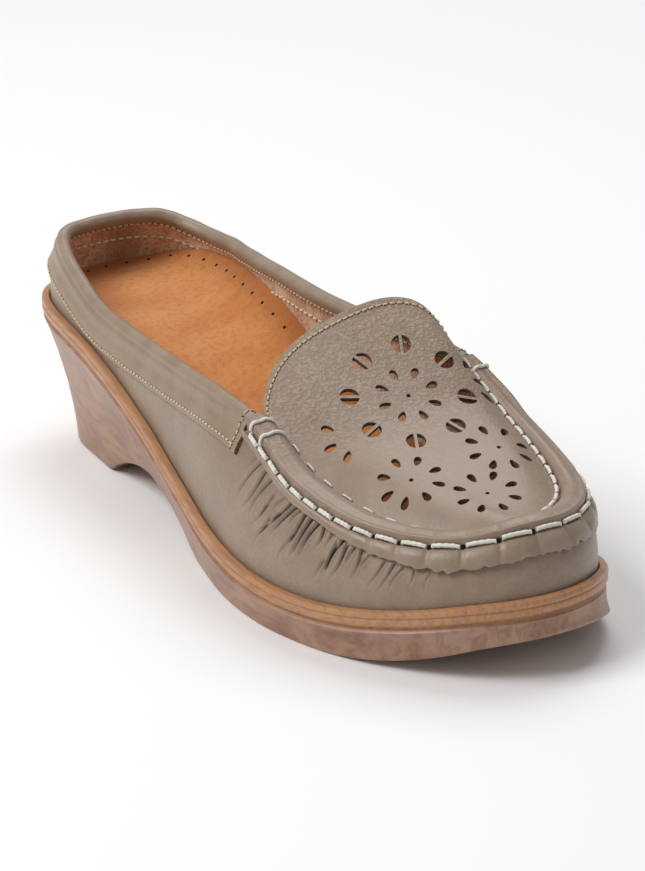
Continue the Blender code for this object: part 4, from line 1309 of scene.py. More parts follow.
@dataclass
class Sole:
    """Moulded sole with rim, groove, side wall, heel, arch and tread, its sizes in mm."""

    last: Last
    bench: Workbench
    rim_band: float = 4.0
    rim_round: float = 0.8
    lip: float = 1.7
    lip_line: float = 0.28
    groove_depth: float = 1.2
    groove_height: float = 1.9
    tray_chamfer: float = 0.3
    wall_set_in: float = 0.4
    bottom_round: float = 1.0
    tread_rim: float = 5.5
    tread_depth: float = 1.1
    heel_tread_depth: float = 0.9
    tread_land: float = 1.2
    lug_length: float = 10.0
    lug_root: float = 0.8
    lug_tail: float = 7.0
    drop_length: float = 6.0
    drop_width: float = 3.6
    tooth_width: float = 2.6
    tooth_length: float = 4.2
    tooth_depth: float = 1.2
    tooth_run_out: float = 2.0
    tooth_inset: float = 4.0
    cut_below: float = 6.0
    fore_teeth: int = 13
    heel_teeth: int = 9
    steps: int = 110
    diamond: Colour = (2.3, 1.35, 0.5)
    diamond_share: float = 0.94
    clear: float = 0.9
    wall_hollows: Sequence[tuple[float, float]] = (
        (0.08, 0.5), (0.25, 1.2), (0.40, 1.5), (0.55, 1.6), (0.75, 1.2), (0.9, 0.6))
    shank_frame: Sequence[float] = (84.0, 2.0, 4.6, 11.5, 0.35)
    shank_ring: Sequence[float] = (109.0, -8.0, 4.4, 6.0, 1.0)
    mark_width: float = 0.8

    def __post_init__(self) -> None:
        """Take the stations of every ring."""
        self.stations = self.last.stations(self.steps)

    def rim_ring(self, out: float, drop: float) -> np.ndarray:
        """Ring a distance out of the rim and below its edge."""
        return np.array([(*(st.place + st.out * out), st.rim - drop) for st in self.stations])

    def foot_ring(self, out: float, rise: float) -> np.ndarray:
        """Ring a distance out of the foot's outline and above the underside."""
        return np.array([self.last.edge(st.turn, st.side, out, rise + self.last.underside(
            self.last.outline(st.turn, st.side, True)[0]), True) for st in self.stations])

    def foot_turn(self, u: float) -> float:
        """Turn of the foot's outline at a way forward."""
        return turn_share((u - self.last.heel_back_rake) / (self.last.length - self.last.heel_back_rake))

    def field(self, start: float, end: float, depth: float) -> tuple[np.ndarray, np.ndarray, float]:
        """Tread field.

        Args:
            start: back of the field.
            end: front of the field.
            depth: its depth.

        Returns:
            Its lateral and its medial edge, and its depth.
        """
        turns = np.linspace(self.foot_turn(start), self.foot_turn(end), 41)
        rows = [np.array([self.last.edge(t, side, -self.tread_rim, 0, True) for t in turns]) for side in Side]
        for row in rows:
            row[:, 0] = np.clip(row[:, 0], start, end)
        return rows[0], rows[1], depth

    def fields(self) -> list[tuple[np.ndarray, np.ndarray, float]]:
        """Both tread fields, the fore one first.

        Returns:
            Lateral edge, medial edge and depth of each.
        """
        last, teeth = self.last, self.tooth_length + self.tread_land
        return [self.field(last.tread_start + teeth, last.length - self.tread_rim, self.tread_depth),
                self.field(last.heel_back_rake + self.tread_rim, last.heel_breast - teeth,
                           self.heel_tread_depth)]

    def drop(self, place: Sequence[float], rise: float) -> list[Colour]:
        """Outline of a drop lug with its point towards one side.

        Args:
            place: way forward, way aside, length, width and side of the point.
            rise: height over the underside.

        Returns:
            The loop.
        """
        u, v, length, width, tip = place[:5]
        loop = []
        for angle in np.linspace(0, 2 * math.pi, 24, endpoint=False):
            reach = math.cos(angle)
            at = u + math.sin(angle) * (1 - 0.45 * max(reach, 0.0)) * width / 2
            loop.append((at, v + tip * reach * length / 2, self.last.underside(at) + rise))
        return loop

    def drops(self) -> list[Sequence[float]]:
        """Place, length, width, point's side and depth of every lug and heel drop.

        Returns:
            A row for each.
        """
        fore = [(u, v, self.lug_length + 0.2 * w, w, tip, self.tread_depth) for u, v, w, tip in LUGS]
        return fore + [(u, v, self.drop_length, self.drop_width, -1 if v < 0 else 1, self.heel_tread_depth)
                       for u, v in HEEL_DROPS]

    def body(self) -> None:
        """Build the sole's body, cut its treads and tell its rim from its wall."""
        ledge = self.last.gap - self.last.rim_ledge
        band, lip, soft, corner = self.rim_band, self.lip, self.rim_round, self.bottom_round
        depth, tall = self.groove_depth, self.groove_height
        rings = [self.rim_ring(*place) for place in (
            (ledge, self.last.tray_depth), (ledge, self.tray_chamfer), (ledge + self.tray_chamfer, 0.0),
            (-soft - 0.5, -0.05), (-soft * 0.45, soft * 0.22), (-0.05, soft * 0.85), (0.05, lip * 0.75),
            (-0.04, lip), (-self.lip_line, lip + 0.22), (-0.06, lip + 0.5), (0.0, lip + 0.8),
            (0.0, band - 0.5), (-0.16, band - 0.1), (-depth * 0.85, band + tall * 0.2),
            (-depth, band + tall * 0.42), (-depth * 0.75, band + tall * 0.75),
            (-self.wall_set_in, band + tall))]
        high, low = rings[-1], self.foot_ring(0.0, corner)
        drawn = np.array([st.outward * (0.25 + 0.75 * max(0.0, 1 - st.along / 0.35)) for st in self.stations])
        rings += [high + (low - high) * share - drawn * hollow for share, hollow in self.wall_hollows]
        rings += [low, *(self.foot_ring(-out * corner, rise * corner)
                         for out, rise in ((0.08, 0.6), (0.4, 0.15), (1.0, 0.0)))]
        sheet = Sheet(self.last)
        rows = [sheet.points(ring) for ring in rings]
        sheet.bridge(rows, True)
        sheet.ladder(rows[0])
        sheet.ladder(rows[-1])
        sole = sheet.make("sole_body", [self.bench.compound], 45.0)
        self.cut_treads(sole)
        sole.data.set_sharp_from_angle(angle=math.radians(38))
        self.last.mark(sole, "rim", lambda u, v, z: 1.0 - soft_step(
            (self.last.rim_height(min(max(u, 0.0), self.last.length)) - z - band - 0.4) / 1.6))
        settle(sole, "outsole")

    def cut_treads(self, sole: Object) -> None:
        """Sink the tread fields, raise the drops in them and notch both tooth rows.

        Args:
            sole: the sole's body.
        """
        last, sheet = self.last, Sheet(self.last)
        for lateral, medial, depth in self.fields():
            loop = [*lateral, *medial[::-1]]
            rings = [sheet.points([(p[0], p[1], -self.cut_below) for p in loop]),
                     sheet.points([(p[0], p[1], last.underside(p[0]) + depth) for p in loop])]
            sheet.bridge(rings, True)
            for ring in rings:
                sheet.ladder(ring, 1)
        boolean(sole, sheet.make("tread_fields"))
        sheet = Sheet(last)
        for place in self.drops():
            sheet.prism(self.drop(place, 0.0), self.drop(place, place[5] + self.lug_root))
        boolean(sole, sheet.make("lugs"), "UNION")
        sheet = Sheet(last)
        half = self.tooth_width / 2
        for start, end, count in (
                (last.tread_start - self.tooth_run_out, last.tread_start + self.tooth_length,
                 self.fore_teeth),
                (last.heel_breast - self.tooth_length, last.heel_breast + self.tooth_run_out,
                 self.heel_teeth)):
            left, right = (last.outline(self.foot_turn((start + end) / 2), side, True)[1]
                           - side.value * self.tooth_inset for side in Side)
            for v in right + (left - right) * (np.arange(count) + 0.5) / count:
                loop = [(start, v - half), (end, v - half), (end, v + half), (start, v + half)]
                sheet.prism([(*p, -self.cut_below) for p in loop], [(*p, self.tooth_depth) for p in loop])
        boolean(sole, sheet.make("teeth"))

    def knurl(self) -> None:
        """Set small diamonds all over the sunk fields, clear of their edges and the drops."""
        length, width, height = self.diamond
        spots = []
        for lateral, medial, depth in self.fields():
            for k in range(1, int((lateral[-1, 0] - lateral[0, 0]) / (length * 0.5))):
                u, shift = lateral[0, 0] + k * length * 0.5, 0.5 * (k % 2)
                left, right = (np.interp(u, lateral[:, 0], edge[:, 1]) for edge in (lateral, medial))
                for m in range(math.ceil((right + self.clear) / width - shift),
                               int((left - self.clear) / width - shift) + 1):
                    if self.clear_of_drops(u, (m + shift) * width):
                        spots.append((u, (m + shift) * width, self.last.underside(u) + depth))
        count = len(spots)
        row = Row(self.last, np.array(spots), np.tile(-UP, (count, 1)))
        mesh = row.path_mesh(row.points + UP * 0.05, np.tile([1.0, 0.0, 0.0], (count, 1)), row.outs,
                             np.ones(count))
        self.bench.grow("tread_knurl", "outsole", mesh, self.bench.studs,
                        Length=length * self.diamond_share * MM,
                        Width=width * self.diamond_share * MM, Height=height * MM, Sides=4, Top=0.16,
                        Finish=self.bench.compound)

    def clear_of_drops(self, u: float, v: float) -> bool:
        """Say whether a diamond stands clear of every lug, heel drop and plain tail.

        Args:
            u: way forward.
            v: way aside.

        Returns:
            True where it does.
        """
        return not any((abs(v - dv) < length / 2 + self.clear and abs(u - du) < width / 2 + self.clear)
                       or (0 < (dv - v) * tip < length / 2 + self.lug_tail and abs(u - du) < self.clear
                           and length > self.drop_length + 2)
                       for du, dv, length, width, tip, _ in self.drops())

    def shank_mark(self, u: float, v: float, half_u: float, half_v: float, power: float) -> np.ndarray:
        """Loop of a bare mark on the shank.

        Args:
            u: way forward to its middle.
            v: way aside to its middle.
            half_u: half its size along the shoe.
            half_v: half its size across.
            power: roundness, 1 for an oval and near 0 for a frame.

        Returns:
            The loop.
        """
        loop = []
        for angle in np.linspace(0, 2 * math.pi, 48, endpoint=False):
            x, y = (math.copysign(abs(turned) ** power, turned)
                    for turned in (math.cos(angle), math.sin(angle)))
            loop.append((u + x * half_u, v + y * half_v, self.last.underside(u + x * half_u) + 0.05))
        return np.array(loop)

    def build(self) -> None:
        """Build every piece of the sole."""
        self.body()
        self.knurl()
        self.bench.sweep("shank_marks", "outsole", [self.shank_mark(*self.shank_frame),
                                                    self.shank_mark(*self.shank_ring)],
                         self.mark_width, self.bench.compound, True, 6)


@dataclass
class SideWall:
    """Vamp and quarters: one hollow ring that rises from the sole to the top line."""

    last: Last
    bench: Workbench
    apron: "Apron"
    fine_step: float = 0.25
    wide_step: float = 1.25
    rows: int = 61
    inner_every: int = 6
    crease_depth: float = 1.4
    crease_width: float = 0.70
    overlap_row: float = 1.5
    row_gap: float = 1.7
    grain: float = 0.30

    def run(self, side: Side) -> tuple[list[Station], np.ndarray]:
        """Stations of one side from the tip to the back, close together where the creases lie.

        Args:
            side: side of the shoe.

        Returns:
            The stations, and the way back from the tip of each.
        """
        coarse = np.linspace(0.0, 1.0, 301)
        places = np.array([self.last.station(1 - t, side).place for t in coarse])
        ways = np.concatenate([[0.0], np.cumsum(np.linalg.norm(np.diff(places, axis=0), axis=1))])
        heads = [row[0] for row in (CREASES if side is Side.LATERAL else MEDIAL_CREASES)]
        first, final = min(heads) - 3.0, max(heads) + 8.0
        places = np.concatenate([np.arange(0.0, first, self.wide_step),
                                 np.arange(first, final, self.fine_step),
                                 np.arange(final, ways[-1] - 0.6, self.wide_step), ways[-1:]])
        return [self.last.station(float(1 - t), side) for t in np.interp(places, ways, coarse)], places

    def crease(self, way: float, drop: np.ndarray, table: Sequence[Sequence[float]]) -> np.ndarray:
        """Relief of the gather creases.

        Args:
            way: way back from the tip.
            drop: ways down from the cut margin.
            table: the creases.

        Returns:
            Offsets outwards, in mm.
        """
        total = np.zeros_like(drop)
        for k, (head, start, length, lean, depth, half) in enumerate(table):
            down = (drop - start) / length
            bend = 0.8 * math.sin(k * 2.4) * np.sin(np.clip(down, 0, 1) * math.pi)
            away = (way - head - lean * (drop - start) - bend) / (half * self.crease_width)
            if np.abs(away).min() > 5:
                continue
            fade = np.where(down < 0, np.clip(1 + (drop - start) / 1.2, 0, 1), np.clip(1 - down, 0, 1) ** 0.7)
            ridge = 0.40 * np.exp(-((np.abs(away) - 2.1) / 1.1) ** 2)
            total += fade * depth * self.crease_depth * (ridge - np.exp(-away ** 2))
        return total

    def build(self) -> None:
        """Build the wall and the rows of its medial seam."""
        last, (lateral, back), (medial, ahead) = self.last, self.run(Side.LATERAL), self.run(Side.MEDIAL)
        shares = np.linspace(0.0, 1.0, self.rows)
        outer, inner, folds = [], [], []
        for st, way in zip(lateral[::-1] + medial[1:-1], [*back[::-1], *ahead[1:-1]]):
            low = self.apron.low_share(st) if st.turn > last.tab_turn - 0.03 else 0.9
            table = CREASES if st.side is Side.LATERAL else MEDIAL_CREASES
            relief = self.crease(way, (low - shares) * st.height, table)
            relief = relief * np.clip((st.foot_z + st.height * shares - st.rim) / 2.5, 0, 1)
            outer.append(last.on_wall(st, shares, np.array([last.seam_step(st, t) for t in shares]) + relief))
            inner.append(last.on_wall(st, shares[::self.inner_every], -last.wall))
            # Depth in a crease, which the leather paints as shade.
            folds.append(np.clip(-relief / 0.55 - 0.15, 0, 1))
        sheet = Sheet(last)
        sheet.shell(outer, inner, True, folds)
        wall = sheet.make("side_wall", [self.bench.leather], 60.0)
        last.mark(wall, "grain", lambda u, v, z: self.grain)
        settle(wall, "upper")
        for name, behind in (("seam_row_front", self.overlap_row),
                             ("seam_row_back", self.overlap_row + self.row_gap)):
            places = []
            for t in np.linspace(0.26, 0.80, 30):
                st = last.station(turn_share(last.seam_at(t) - behind / last.length), Side.MEDIAL)
                places.append((st, t, last.seam_step(st, t)))
            row = last.wall_row(places)
            self.bench.sew(name, "upper", row, row.even_holes(2.1),
                           Stitch(self.bench.yellow, 0.62, 0.78, 0.25))


@dataclass
class HeelBand:
    """Folded binding that caps the wall from tab to tab round the heel."""

    last: Last
    bench: Workbench
    width: float = 9.6
    thickness: float = 1.05
    clear: float = 0.1
    above_rim: float = 1.0
    lining_room: float = 0.28
    inside_thickness: float = 0.6
    roll: float = 2.3
    roll_width: float = 2.1
    steps: int = 190
    row_up: float = 1.5
    edge_up: float = 0.55
    grain: float = 0.22
    roll_rows: tuple[int, int] = (24, 44)
    first_row: int = 6

    def low_share(self, st: Station) -> float:
        """Share of the wall at the band's lower edge."""
        return max(self.last.width_share(st, self.width), st.share(st.rim + self.above_rim))

    def near(self, st: Station, t: float) -> float:
        """Distance of the band's back from the wall's outer face."""
        return self.clear + self.last.seam_step(st, max(t, 0.4))

    def section(self, st: Station) -> tuple[np.ndarray, np.ndarray]:
        """Outer and inner section of the band.

        Args:
            st: station.

        Returns:
            Points from the outer lower edge over the fold to the turned-in edge, outer and inner.
        """
        last = self.last
        inside_face = -last.wall - self.lining_room
        deep = inside_face - self.inside_thickness
        low = self.low_share(st)
        turn_in = st.share(st.top_z - last.band_turn_in)
        face, back = [], []
        for share, extra in ((0.0, 0.0), (0.30, 0.05), (0.60, -0.14), (0.82, 0.30)):
            t = low + (1 - low) * share
            face.append(last.on_wall(st, t, self.near(st, t) + self.thickness + extra))
            back.append(last.on_wall(st, t, self.near(st, t)))
        near = self.near(st, 1.0)
        middle = last.on_wall(st, 1.0, (near + self.thickness + deep) / 2)
        half = self.roll_width + last.seam_step(st, 1.0) / 2
        roll = [middle + st.outward * (half * math.cos(math.radians(a)))
                + UP * (self.roll * math.sin(math.radians(a))) for a in range(0, 181, 30)]
        thick = face[0] - back[0]
        outer = [back[0] + thick * 0.12, back[0] + thick * 0.55 - UP * 0.12,
                 face[0] + (face[1] - face[0]) * 0.12, *face[1:], *roll, last.on_wall(st, turn_in, deep)]
        top, lift = last.on_wall(st, 1.0, near), UP * self.clear
        inner = [*back, top, top + lift, middle + lift * 2, last.on_wall(st, 1.0, inside_face) + lift,
                 last.on_wall(st, turn_in, inside_face)]
        return catmull(outer, 4), np.array(inner)

    def build(self) -> None:
        """Build the band from the medial tab round the heel to the lateral tab, and its rows."""
        last, bench = self.last, self.bench
        values = [last.band_turn * k / self.steps for k in range(self.steps + 1)]
        stations = ([last.station(t, Side.MEDIAL) for t in reversed(values[1:])]
                    + [last.station(t, Side.LATERAL) for t in values])
        outer, inner = (np.array(part) for part in zip(*(self.section(st) for st in stations)))
        count = np.arange(len(stations))
        outer[:, slice(*self.roll_rows), 2] += (0.08 * np.sin(count * 0.31) * np.sin(count * 0.083))[:, None]
        sheet = Sheet(last)
        sheet.shell(outer, inner, False)
        # Cut-edge colour on the band's ends: the raw edge of the leather, and painted shade of the gap at the
        # tabs.
        band = sheet.make("heel_binding", [bench.leather, bench.cut_edge], 60.0)
        last.mark(band, "grain", lambda u, v, z: self.grain)
        settle(band, "heel_band")
        lows = [self.low_share(st) + self.row_up / st.height for st in stations]
        edge = last.wall_row([(st, t, self.near(st, t) + self.thickness + 0.05)
                              for st, t in zip(stations, lows)])
        deep = -last.wall - self.lining_room - self.inside_thickness - 0.03
        turned = last.wall_row([(st, st.share(st.top_z - last.band_turn_in + self.edge_up), deep)
                                for st in stations])
        turned.outs = np.array([-last.wall_normal(st, 0.9) for st in stations])
        rows = [("binding_row", edge, (1.95, 2.0, 2.0)), ("turned_in_row", turned, (1.9, 1.5, 1.5))]
        for name, index in (("medial_tab_row", 2), ("lateral_tab_row", len(stations) - 3)):
            first, final = self.first_row, self.roll_rows[1]
            line = outer[index, first:final]
            middle = (outer[index, first] + outer[index, final]) / 2 - UP * 2.0
            rows.append((name, Row(last, line, line - middle), (1.9, 0.4, 0.2)))
        for name, row, spacing in rows:
            bench.sew(name, "heel_band", row, row.even_holes(*spacing),
                      Stitch(bench.yellow, 0.58, 0.66, 0.20),
                      Hole(0.55, 0.10, 6))


@dataclass
class Lining:
    """Suede inside the wall, from the footbed up under the binding, and forward into the toe."""

    last: Last
    bench: Workbench
    thickness: float = 0.22
    clear: float = 0.02
    steps: int = 150
    row_drop: float = 7.0
    shade_side: float = 4.0

    def painted_shade(self, u: float, v: float, z: float) -> float:
        """Painted shade at the back of the heel and deep in the toe."""
        shade = 0.8 * math.exp(-((v + self.shade_side) / 9.0) ** 2) * (1 - soft_step(u / 26))
        return max(shade, 1.2 * soft_step((u - 150) / 30))

    def build(self) -> None:
        """Build the lining and the rough row along its middle, from the medial tab to the lateral one."""
        last, near = self.last, -self.last.wall - self.clear
        stations = last.stations(self.steps)
        shares = np.linspace(0.10, 0.985, 22)
        sheet = Sheet(last)
        sheet.shell([last.on_wall(st, shares, near) for st in stations],
                    [last.on_wall(st, shares, near - self.thickness) for st in stations], True)
        lining = sheet.make("suede_lining", [self.bench.suede], 60.0)
        # Painted shade inside the heel and deep in the toe.
        last.mark(lining, "painted_shade", self.painted_shade)
        settle(lining)
        kept = sorted((st for st in stations if st.turn <= last.band_turn - 0.02),
                      key=lambda st: st.turn * st.side.value)
        row = last.wall_row([(st, st.share(st.top_z - self.row_drop), near - self.thickness)
                             for st in kept], -1.0)
        self.bench.sew("lining_row", "upper", row, row.even_holes(2.6, 3.0, 3.0),
                       Stitch(self.bench.gold, 0.75, 0.62, 0.30))


@dataclass
class Apron:
    """Moccasin apron: cut margin over the wall, rolled bead, perforated middle and its seams."""

    last: Last
    bench: Workbench
    instep_height: float = 67.5
    toe_box_height: float = 39.0
    strip_thickness: float = 1.3
    strip_width: float = 4.4
    strip_toe_width: float = 7.4
    stitch_share: float = 0.94
    thickness: float = 1.3
    bead_rise: float = 2.3
    bead_shoulder: float = 0.8
    apron_length: float = 76.0
    from_tip: float = 28.0
    throat_side: float = -3.0
    toe_crown: float = 2.4
    columns: int = 170
    bead_rows: int = 5
    plug_rows: int = 34
    edge_row: int = 4
    seam_spread: float = 12.0
    nudge: float = 0.25
    mesh_size: float = 1.05
    bean_hole: float = 5.4
    bean_bar: float = 0.9
    bean_ring: float = 15.9
    bean_turn: float = 25.0
    petal_length: float = 3.6
    petal_width: float = 2.2
    flower_radius: float = 7.3
    flower_middle: float = 0.62
    far: float = 6.0
    fore_aft: float = 22.0
    half_shapes: Sequence[Colour] = ((1.9, 0.0, 0.0), (12.0, -6.0, 4.5))

    def __post_init__(self) -> None:
        """Make the curves, the turns that the sections share and the ragged edge."""
        last = self.last
        self.spine_row = Curve(APRON_SPINE)
        self.bead_widths = {Side.LATERAL: Curve(BEAD_WIDTHS, 1), Side.MEDIAL: Curve(BEAD_WIDTHS, 2)}
        turns = [k / 27 for k in range(28)]
        for k in range(5):
            seam = turn_share(last.seam_low + (last.seam_high - last.seam_low) * k / 4)
            turns = [v for v in turns if abs(v - seam) > 0.004] + [seam]
        kept = [v for v in turns if abs(v - last.tab_turn) > 0.006] + [last.band_turn, last.tab_turn]
        self.shared = sorted(v for v in kept if v >= last.tab_turn)
        self.throat = last.length - self.from_tip - self.apron_length
        self.ragged = np.interp(np.linspace(0, 240, 481), np.arange(241),
                                np.random.default_rng(7).normal(0, 0.24, 241))

    def low_share(self, st: Station) -> float:
        """Share of the wall at the cut edge of the margin."""
        toe = min(max((st.along - 0.80) / 0.15, 0.0), 1.0)
        return self.last.width_share(st, self.strip_width + (self.strip_toe_width - self.strip_width) * toe)

    def spine_share(self, turn: float) -> float:
        """Share along the spine that a turn's section runs to."""
        place = float(np.interp(turn, self.shared, np.arange(len(self.shared)))) / (len(self.shared) - 1)
        return 1 - (1 - place) ** 1.7

    def spine_point(self, share: float) -> np.ndarray:
        """Point on the apron's middle line, from the throat, 0, to its front, 1."""
        z = self.instep_height - (self.instep_height - self.toe_box_height) * self.spine_row.at(share)
        return np.array([self.throat + self.apron_length * share, self.throat_side * (1 - 0.35 * share), z])

    def ease_spine(self, grid: np.ndarray) -> None:
        """Round the ridge where the lateral and the medial half meet.

        Args:
            grid: sections by station, which change.
        """
        count, reach = len(grid), self.plug_rows
        weight = np.clip(1.15 - np.abs(np.arange(2 * reach - 1) - reach + 1) / 16, 0, 1)[1:-1, None]
        for k in range(count // 2):
            line = np.vstack([grid[k, -reach:], grid[count - 1 - k, -reach:][::-1][1:]])
            for _ in range(90):
                line[1:-1] += 0.5 * weight * ((line[:-2] + line[2:]) / 2 - line[1:-1])
            grid[k, -reach:] = line[:reach]
            grid[count - 1 - k, -reach:] = line[reach - 1:][::-1]
        grid[count // 2, -1] = (grid[count // 2 - 1, -1] + grid[count // 2 + 1, -1]) / 2

    def pucker(self, way: float, holes: np.ndarray, toe: float) -> tuple[float, float]:
        """Pull of the seam's stitches.

        Args:
            way: way along the seam.
            holes: ways of its holes.
            toe: share that tells the toe, 1, from the sides, 0.

        Returns:
            Sink of the margin at a hole, and fullness between two holes, both in mm.
        """
        away = float(np.abs(holes - way).min())
        k = int(np.searchsorted(holes, way))
        span = float(holes[min(k, len(holes) - 1)] - holes[max(k - 1, 0)]) or 8.0
        return ((0.12 + 0.34 * toe) * math.exp(-(away / 0.75) ** 2),
                (0.10 + 0.22 * toe) * math.sin(math.pi * min(2 * away / span, 1.0) / 2))

    def edge_part(self, st: Station, sink: float, full: float, rag: float) -> list[np.ndarray]:
        """Control points from the cut edge over the margin, the groove and the bead.

        Args:
            st: station.
            sink: how far the stitches pull the margin in, in mm.
            full: fullness between the stitches, in mm.
            rag: raggedness of the cut edge, in mm.

        Returns:
            The points, the last one in the valley behind the bead.
        """
        last, stitch, low = self.last, self.stitch_share, self.low_share(st)
        base = last.gap + self.strip_thickness
        skin = [last.on_wall(st, t, base + last.seam_step(st, t, self.seam_spread) + off)
                + UP * up for t, off, up in (
                    (low + rag / st.height, -0.15, 0.0),
                    (low + 0.22 * (stitch - low), 0.15 + full * 0.6 - sink * 0.5, 0.0),
                    (low + 0.55 * (stitch - low), 0.40 + full - sink * 0.8, 0.0),
                    (low + 0.86 * (stitch - low), 0.15 + full * 0.6 - sink, 0.0),
                    (stitch + 0.004, -0.85 - sink * 0.5, 0.0),
                    (stitch + 0.036, -0.10 - sink * 0.4, 0.3),
                    (1.0, 0.1 - sink * 0.3, self.bead_shoulder + 0.25))]
        centre = last.on_wall(st, 1.0, -last.wall / 2)
        width, rise = self.bead_widths[st.side].at(st.along), self.bead_rise
        return skin + [centre - st.outward * way + UP * up for way, up in (
            (-0.5, rise + 0.30 - sink * 0.3 + full * 0.3), (width * 0.34, rise * 1.34 + full * 0.3),
            (width * 0.72, rise * 1.04), (width - 0.35, rise * 0.42), (width, rise * 0.12))]

    def section(self, st: Station, sink: float, full: float, rag: float) -> np.ndarray:
        """Outer points of one section, from the cut edge to the spine.

        Args:
            st: station.
            sink: how far the stitches pull the margin in, in mm.
            full: fullness between the stitches, in mm.
            rag: raggedness of the cut edge, in mm.

        Returns:
            The points as rows.
        """
        control = self.edge_part(st, sink, full, rag)
        share = self.spine_share(st.turn)
        valley, spine = control[-1], self.spine_point(share)
        own, other = (np.array(shape) for shape in self.half_shapes[::st.side.value])
        crown, aside, ridge = own + (other - own) * soft_step((st.turn - 0.9) / 0.1) * 0.5
        crown += (self.toe_crown - crown) * share ** 0.6
        r = (np.arange(1, self.plug_rows + 1) / self.plug_rows) ** 1.5
        plug = valley + (spine - valley) * r[:, None]
        plug[:, 0] -= self.fore_aft * (1 - share) ** 2 * r ** 0.5 * (1 - r)
        plug[:, 1] += aside * (1 - share) * r ** 0.5 * (1 - r)
        plug[:, 2] = (valley[2] + (spine[2] - valley[2]) * (1 - (1 - r) ** crown)
                      + ridge * (1 - share) * 4 * r * (1 - r))
        return np.vstack([catmull(control, self.bead_rows), plug])

    def seam_holes(self, row: Row) -> np.ndarray:
        """Holes of the moccasin seam: close at the tabs, wide apart at the toe.

        Args:
            row: line of the seam.

        Returns:
            Their ways.
        """
        total, ways = row.lengths()[-1], [2.6]
        while ways[-1] < total - 4.0:
            share = min(ways[-1], total - ways[-1]) / (total / 2)
            ways.append(ways[-1] + 5.4 + 3.9 * soft_step((share - 0.28) / 0.55))
        return np.array([w for w in ways if w < total - 1.5])

    def placed(self, shape: Loop, u: float, v: float, angle: float, reach: float) -> Loop:
        """Loop turned by an angle, at a reach from a place along that angle."""
        c, s = math.cos(angle), math.sin(angle)
        return [(u + (reach + x) * c - y * s, v + (reach + x) * s + y * c) for x, y in shape]

    def hole_loops(self) -> list[Loop]:
        """Draw all perforations in plan.

        Returns:
            Loops of the petals, the flowers' middles and both halves of each barred round hole.
        """
        petal = [(math.cos(a) * self.petal_length / 2,
                  math.sin(a) * self.petal_width / 2 * (0.92 + 0.30 * math.cos(a)))
                 for a in np.linspace(0, 2 * math.pi, 16, endpoint=False)]
        radius = self.bean_hole / 2
        start = math.asin(self.bean_bar / self.bean_hole)
        bean = [(radius * math.cos(a), radius * math.sin(a)) for a in np.linspace(start, math.pi - start, 13)]
        middle = [(self.flower_middle * math.cos(a), self.flower_middle * math.sin(a))
                  for a in np.linspace(0, 2 * math.pi, 8, endpoint=False)]
        loops = []
        centres = [(self.throat + self.apron_length * row[0], self.last.ball_width / 2 * row[1])
                   for row in FLOWERS]
        turn = 2 * math.pi / len(ALL_PETALS)
        for (u, v), (_, _, parts) in zip(centres, FLOWERS):
            loops += [self.placed(petal, u, v, k * turn, self.flower_radius) for k in parts]
            if parts == ALL_PETALS:
                loops.append(self.placed(middle, u, v, 0.0, 0.0))
        for k in ALL_PETALS:
            for hand in (1, -1):
                loops.append(self.placed([(x, hand * y) for x, y in bean], *centres[0],
                                         math.radians(self.bean_turn) + k * turn, self.bean_ring))
        return loops

    def cut_through(self, point: Sequence[float], loops: Sequence[np.ndarray]) -> bool:
        """Say whether a plan point lies in one of the loops."""
        return any(inside(point, loop) for loop in loops if abs(loop[0][0] - point[0]) < self.far)

    def perforated(self, sheet: Sheet, grid: np.ndarray) -> None:
        """Fill the middle of the apron with a mesh that leaves the perforations open.

        Args:
            sheet: mesh under construction.
            grid: sections of the middle by station, from the row that the fill starts at.
        """
        columns, rows = grid.shape[:2]
        faces = []
        for a in (i * rows + j for i in range(columns - 1) for j in range(rows - 1)):
            faces += [(a, a + 1, a + rows + 1), (a, a + rows + 1, a + rows)]
        surface = BVHTree.FromPolygons([Vector(p) for p in grid.reshape(-1, 3)], faces)
        rim = [*grid[:, 0], *grid[-1, 1:], *grid[0, rows - 2:0:-1]]
        places: Loop = [(float(p[0]), float(p[1])) for p in rim]
        edges = [(k, (k + 1) % len(rim)) for k in range(len(rim))]
        outline = np.array(places)
        holes = self.hole_loops()
        for loop in holes:
            inwards = -math.copysign(self.nudge, loop[0][1])
            while not all(inside((p[0], p[1] - 2 * inwards), outline) for p in loop):
                loop[:] = [(p[0], p[1] + inwards) for p in loop]
            first = len(places)
            places += loop
            edges += [(first + k, first + (k + 1) % len(loop)) for k in range(len(loop))]
        borders, loops, size = np.array(places), [np.array(loop) for loop in holes], self.mesh_size
        low, high = outline.min(0), outline.max(0)
        for i in range(int((high[0] - low[0]) / size) + 1):
            for j in range(int((high[1] - low[1]) / size) + 1):
                point = (low[0] + i * size + 0.37, low[1] + (j + 0.5 * (i % 2)) * size + 0.21)
                if (np.abs(borders - point).sum(1).min() >= size * 0.62 and inside(point, outline)
                        and not self.cut_through(point, loops)):
                    places.append(point)
        made, _, triangles, _, _, _ = delaunay_2d_cdt([Vector(p) for p in places], edges, [], 0, 1e-5)
        points = list(rim)
        for uv in made[len(rim):]:
            hit = surface.ray_cast(Vector((*uv, 200.0)), Vector((0, 0, -1)))[0]
            points.append(np.array(hit or surface.find_nearest(Vector((*uv, 55.0)))[0]))
        vertices = sheet.points(points)
        for triangle in triangles:
            a, b, c = (made[k] for k in triangle)
            middle = (a + b + c) / 3
            if inside(middle, outline) and not self.cut_through(middle, loops):
                sheet.face([vertices[k] for k in (triangle if (b - a).cross(c - a) > 0 else triangle[::-1])])

